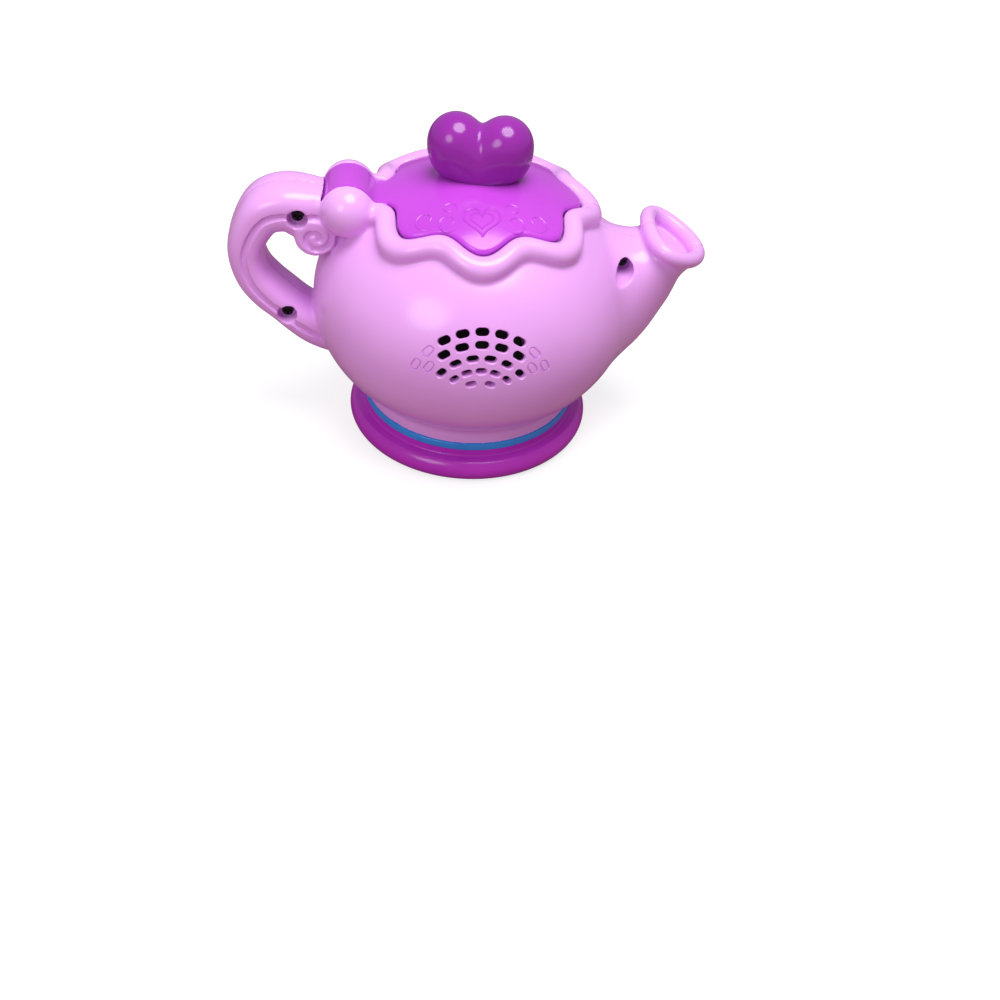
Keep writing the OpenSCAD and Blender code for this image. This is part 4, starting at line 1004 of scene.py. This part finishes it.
def box_form(low, high):
    """Closed box between two corners."""
    (x0, y0, z0), (x1, y1, z1) = low, high
    rings = [np.array([(x0, y0, z), (x1, y0, z), (x1, y1, z), (x0, y1, z)]) for z in (z0, z1)]
    return loft(rings)


def post_form(x, y, low, high, radius, steps=32):
    """Upright round post."""
    turn = np.linspace(0, 2 * math.pi, steps, endpoint=False)
    circle = np.stack([x + radius * np.cos(turn), y + radius * np.sin(turn)], axis=1)
    return loft([np.column_stack([circle, np.full(steps, z)]) for z in (low, high)])


POCKET_ROOT = 0.6
BASE_SCREWS = [(x, y) for x in (-21.3, 21.3) for y in (-31.2, 31.2)]


def add_battery_pocket(base):
    """Box over the cells, with the pillar of the door screw and the standoffs of the main board."""
    low = FLOOR_TOP - POCKET_ROOT
    top = POCKET_TOP + POCKET_T
    end, side = POCKET_END + POCKET_T, POCKET_SIDE + POCKET_T
    cut(base, box_form((-end, -side, low), (end, side, top)), "UNION")
    cut(base, post_form(DOOR_SCREW_X, 0, low, FOOT_Z - FIT, DOOR_EAR_R + WALL), "UNION")
    for x in (-STANDOFF_X, STANDOFF_X):
        cut(base, post_form(x, 0, top - POCKET_T / 2, top + STANDOFF_H, STANDOFF_R), "UNION")
        cut(base, post_form(x, 0, top - POCKET_T / 2, top + STANDOFF_H + PAST, SHANK_HOLE_R))
    cut(base, box_form((-POCKET_END, -POCKET_SIDE, -PAST), (POCKET_END, POCKET_SIDE, POCKET_TOP)))


def cut_base_openings(base):
    """Door opening, slot of the power switch and screw holes in the floor of the base."""
    end, side, ear = POCKET_END + FIT, POCKET_SIDE + FIT, DOOR_EAR_R + FIT
    cut(base, box_form((-end, -side, -PAST), (end, side, FLOOR_TOP)))
    cut(base, box_form((0, -ear, -PAST), (DOOR_SCREW_X, ear, FLOOR_TOP)))
    cut(base, post_form(DOOR_SCREW_X, 0, -PAST, FLOOR_TOP, ear))
    cut(base, post_form(DOOR_SCREW_X, 0, 0, DOOR_HOLE_H, SHANK_HOLE_R))
    # The slot of the power switch lies in line with the rear screws
    slot_y = BASE_SCREWS[0][1]
    cut(base, box_form((-POWER_SLOT_HALF_L, slot_y - POWER_SLOT_HALF_W, -PAST),
                       (POWER_SLOT_HALF_L, slot_y + POWER_SLOT_HALF_W, FLOOR_TOP + PAST)))
    for x, y in BASE_SCREWS:
        cut(base, post_form(x, y, -PAST, FLOOR_TOP + PAST, SHANK_HOLE_R))
        cut(base, post_form(x, y, -PAST, FLOOR_LIFT + HEAD_H, HEAD_HOLE_R))


def make_base():
    """Round-edged base with a floor and the seat under the ring."""
    half = BASE_H / 2
    edge = BASE_R - half
    # Profile: floor, soft inner edge of the foot, round rim, hollow beside the seat, seat
    rim = arc(edge, half, half, -90, 62, 34)
    dish = arc(SEAT_OUT_R + 1.2, BASE_H + 0.1, 1.1, 250, 180, 6)
    profile = [
        (0.01, FLOOR_LIFT), (edge - half, FLOOR_LIFT), (edge - half + 0.4, 0.2), (edge - half + 0.9, 0.0),
        *rim, *dish, (SEAT_OUT_R, SEAT_TOP), (SEAT_IN_R, SEAT_TOP), (SEAT_IN_R, FLOOR_TOP), (0.01, FLOOR_TOP)]
    base = new_piece("base_moulding", lathe_form(profile, ROUND_STEPS), base_abs)
    notches = []
    for i in range(NOTCHES):
        a = 2 * math.pi * i / NOTCHES
        low, high = (edge - half / 2, -NOTCH_W / 2, -PAST), (BASE_R + 2 * PAST, NOTCH_W / 2, NOTCH_H)
        points, faces = box_form(low, high)
        turned = np.column_stack([
            points[:, 0] * math.cos(a) - points[:, 1] * math.sin(a),
            points[:, 0] * math.sin(a) + points[:, 1] * math.cos(a), points[:, 2]])
        notches.append((turned, faces))
    cut(base, joined(notches))
    add_battery_pocket(base)
    cut_base_openings(base)
    base.data.materials.clear()
    base.data.materials.append(base_abs)
    finish_piece(base, "pot", ["base_tray"])


def make_ring():
    """Blue trim ring with soft edges between collar and base."""
    corner = 0.7
    low, high = SEAT_TOP, FOOT_Z
    profile = [
        (SEAT_IN_R + 0.3, low), *arc(RING_R - corner, low + corner, corner, -90, 0, 6),
        *arc(RING_R - corner, high - corner, corner, 0, 90, 6), (SEAT_IN_R + 0.3, high)]
    ring = new_piece("trim_ring_moulding", lathe_form(profile, ROUND_STEPS), blue_abs)
    finish_piece(ring, "pot", ["trim_ring"], 30)


make_shells()
make_lid()
make_button()
make_base()
make_ring()


# Finishes of the pieces that keep their CAD shape

NODE_FINISH = {
    "shell_screws": screw_steel, "base_screws": screw_steel, "battery_door_screw": screw_steel,
    "knob_screws": screw_steel, "well_screws": screw_steel, "speaker_screws": screw_steel,
    "main_screws": screw_steel, "button_screws": screw_steel, "hinge_pin": bright_steel,
    "speaker_basket": bright_steel, "contact_springs": bright_steel, "contact_plates": bright_steel,
    "tilt_switch": bright_steel, "power_switch": bright_steel, "button_plunger": bright_steel,
    "main_board": board_laminate, "button_board": board_laminate, "sound_chip": black_resin,
    "lid_switch": black_resin, "button_switch": black_resin, "speaker_cone": cone_paper,
    "speaker_magnet": ferrite, "batteries": cell_jacket, "button_lamp": milky_lamp,
    "capacitor": blue_abs, "power_slider": blue_abs, "lid_switch_plunger": blue_abs,
    "battery_door": base_abs, "tea_well": pink_abs}


def finish_nodes():
    """Gives every kept CAD node its material."""
    for name, material in NODE_FINISH.items():
        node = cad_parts[name]
        node.data.materials.clear()
        node.data.materials.append(material)


finish_nodes()


# Stage, light and camera

# Floor: half its side, where its glow begins to whiten and is white, in metres, and the glow at the object
FLOOR_HALF = 3.0
GLOW_START = 0.2
GLOW_FULL = 1.0
GLOW_NEAR = 0.74
ROUND_LIGHT = 0.34


def seen_directly(tree):
    """1 for rays that come from the camera, also through a clear material, and 0 for all others."""
    path = add_node(tree, "ShaderNodeLightPath")
    seen = add_node(tree, "ShaderNodeMath", {"operation": "MAXIMUM"},
                    _0=path.outputs["Is Camera Ray"], _1=path.outputs["Is Transmission Ray"])
    return seen.outputs[0]


def make_stage():
    """White floor that keeps the object's shadow; light that bounces off it is held back."""
    mesh = bpy.data.meshes.new("studio_floor")
    half = FLOOR_HALF
    corners = [(-half, -half, 0), (half, -half, 0), (half, half, 0), (-half, half, 0)]
    mesh.from_pydata(corners, [], [(0, 1, 2, 3)])
    floor = bpy.data.objects.new("studio_floor", mesh)
    bpy.context.scene.collection.objects.link(floor)
    material = bpy.data.materials.new("matt_white_floor")
    material.use_nodes = True
    tree = material.node_tree
    tree.nodes.clear()
    seen = seen_directly(tree)
    matt = add_node(tree, "ShaderNodeBsdfDiffuse", Color=linear("#b0b0b0"))
    # The glow reaches full white about a metre out, so that the floor meets the background unseen
    place = add_node(tree, "ShaderNodeTexCoord").outputs["Object"]
    out = add_node(tree, "ShaderNodeVectorMath", {"operation": "LENGTH"}, _0=place)
    whiten = add_node(tree, "ShaderNodeMapRange", Value=out.outputs["Value"])
    whiten.inputs["From Min"].default_value = GLOW_START
    whiten.inputs["From Max"].default_value = GLOW_FULL
    whiten.inputs["To Min"].default_value = GLOW_NEAR
    whiten.inputs["To Max"].default_value = 1.0
    glow = add_node(tree, "ShaderNodeEmission", Color=linear("#ffffff"), Strength=whiten.outputs["Result"])
    lit = add_node(tree, "ShaderNodeAddShader", _0=matt.outputs[0], _1=glow.outputs[0])
    dim = add_node(tree, "ShaderNodeBsdfDiffuse", Color=linear("#a4808a"))
    mixed = add_node(tree, "ShaderNodeMixShader", _0=seen, _1=dim.outputs[0], _2=lit.outputs[0])
    add_node(tree, "ShaderNodeOutputMaterial", Surface=mixed.outputs[0])
    mesh.materials.append(material)


def make_world():
    """Soft even light from all around; the background itself shows white."""
    world = bpy.data.worlds.new("studio")
    bpy.context.scene.world = world
    world.use_nodes = True
    tree = world.node_tree
    tree.nodes.clear()
    seen = seen_directly(tree)
    white = add_node(tree, "ShaderNodeBackground", Color=linear("#ffffff"), Strength=1.0)
    soft = add_node(tree, "ShaderNodeBackground", Color=linear("#ffffff"), Strength=ROUND_LIGHT)
    mixed = add_node(tree, "ShaderNodeMixShader", _0=seen, _1=soft.outputs[0], _2=white.outputs[0])
    add_node(tree, "ShaderNodeOutputWorld", Surface=mixed.outputs[0])


def add_lamp(name, place, aim, size, power):
    """Round soft box that points at a place."""
    light = bpy.data.lights.new(name, "AREA")
    light.shape = "DISK"
    light.size = size
    light.energy = power
    lamp = bpy.data.objects.new(name, light)
    lamp.location = place
    lamp.rotation_euler = (Vector(aim) - Vector(place)).to_track_quat("-Z", "Y").to_euler()
    bpy.context.scene.collection.objects.link(lamp)


def make_camera():
    """Camera at the photograph's viewing angle: a little left of the grille, from above, slightly rolled."""
    data = bpy.data.cameras.new("photo_camera")
    data.sensor_width = 36.0
    data.lens = 43.56
    camera = bpy.data.objects.new("photo_camera", data)
    place = Vector((-33.41, -467.26, 358.19)) * MM
    aim = Vector((12.25, -65.07, -1.25)) * MM
    roll = Quaternion((0, 0, 1), math.radians(4.54))
    camera.location = place
    camera.rotation_mode = "QUATERNION"
    camera.rotation_quaternion = (aim - place).to_track_quat("-Z", "Y") @ roll
    bpy.context.scene.collection.objects.link(camera)
    bpy.context.scene.camera = camera


make_stage()
make_world()
add_lamp("overhead_soft_box", (0.1, -0.15, 0.95), (0, 0, 0.08), 0.62, 7.2)
add_lamp("front_left_soft_box", (-0.55, -0.7, 0.65), (0, 0, 0.07), 0.5, 2.5)
make_camera()
bpy.context.scene.view_settings.view_transform = "Standard"
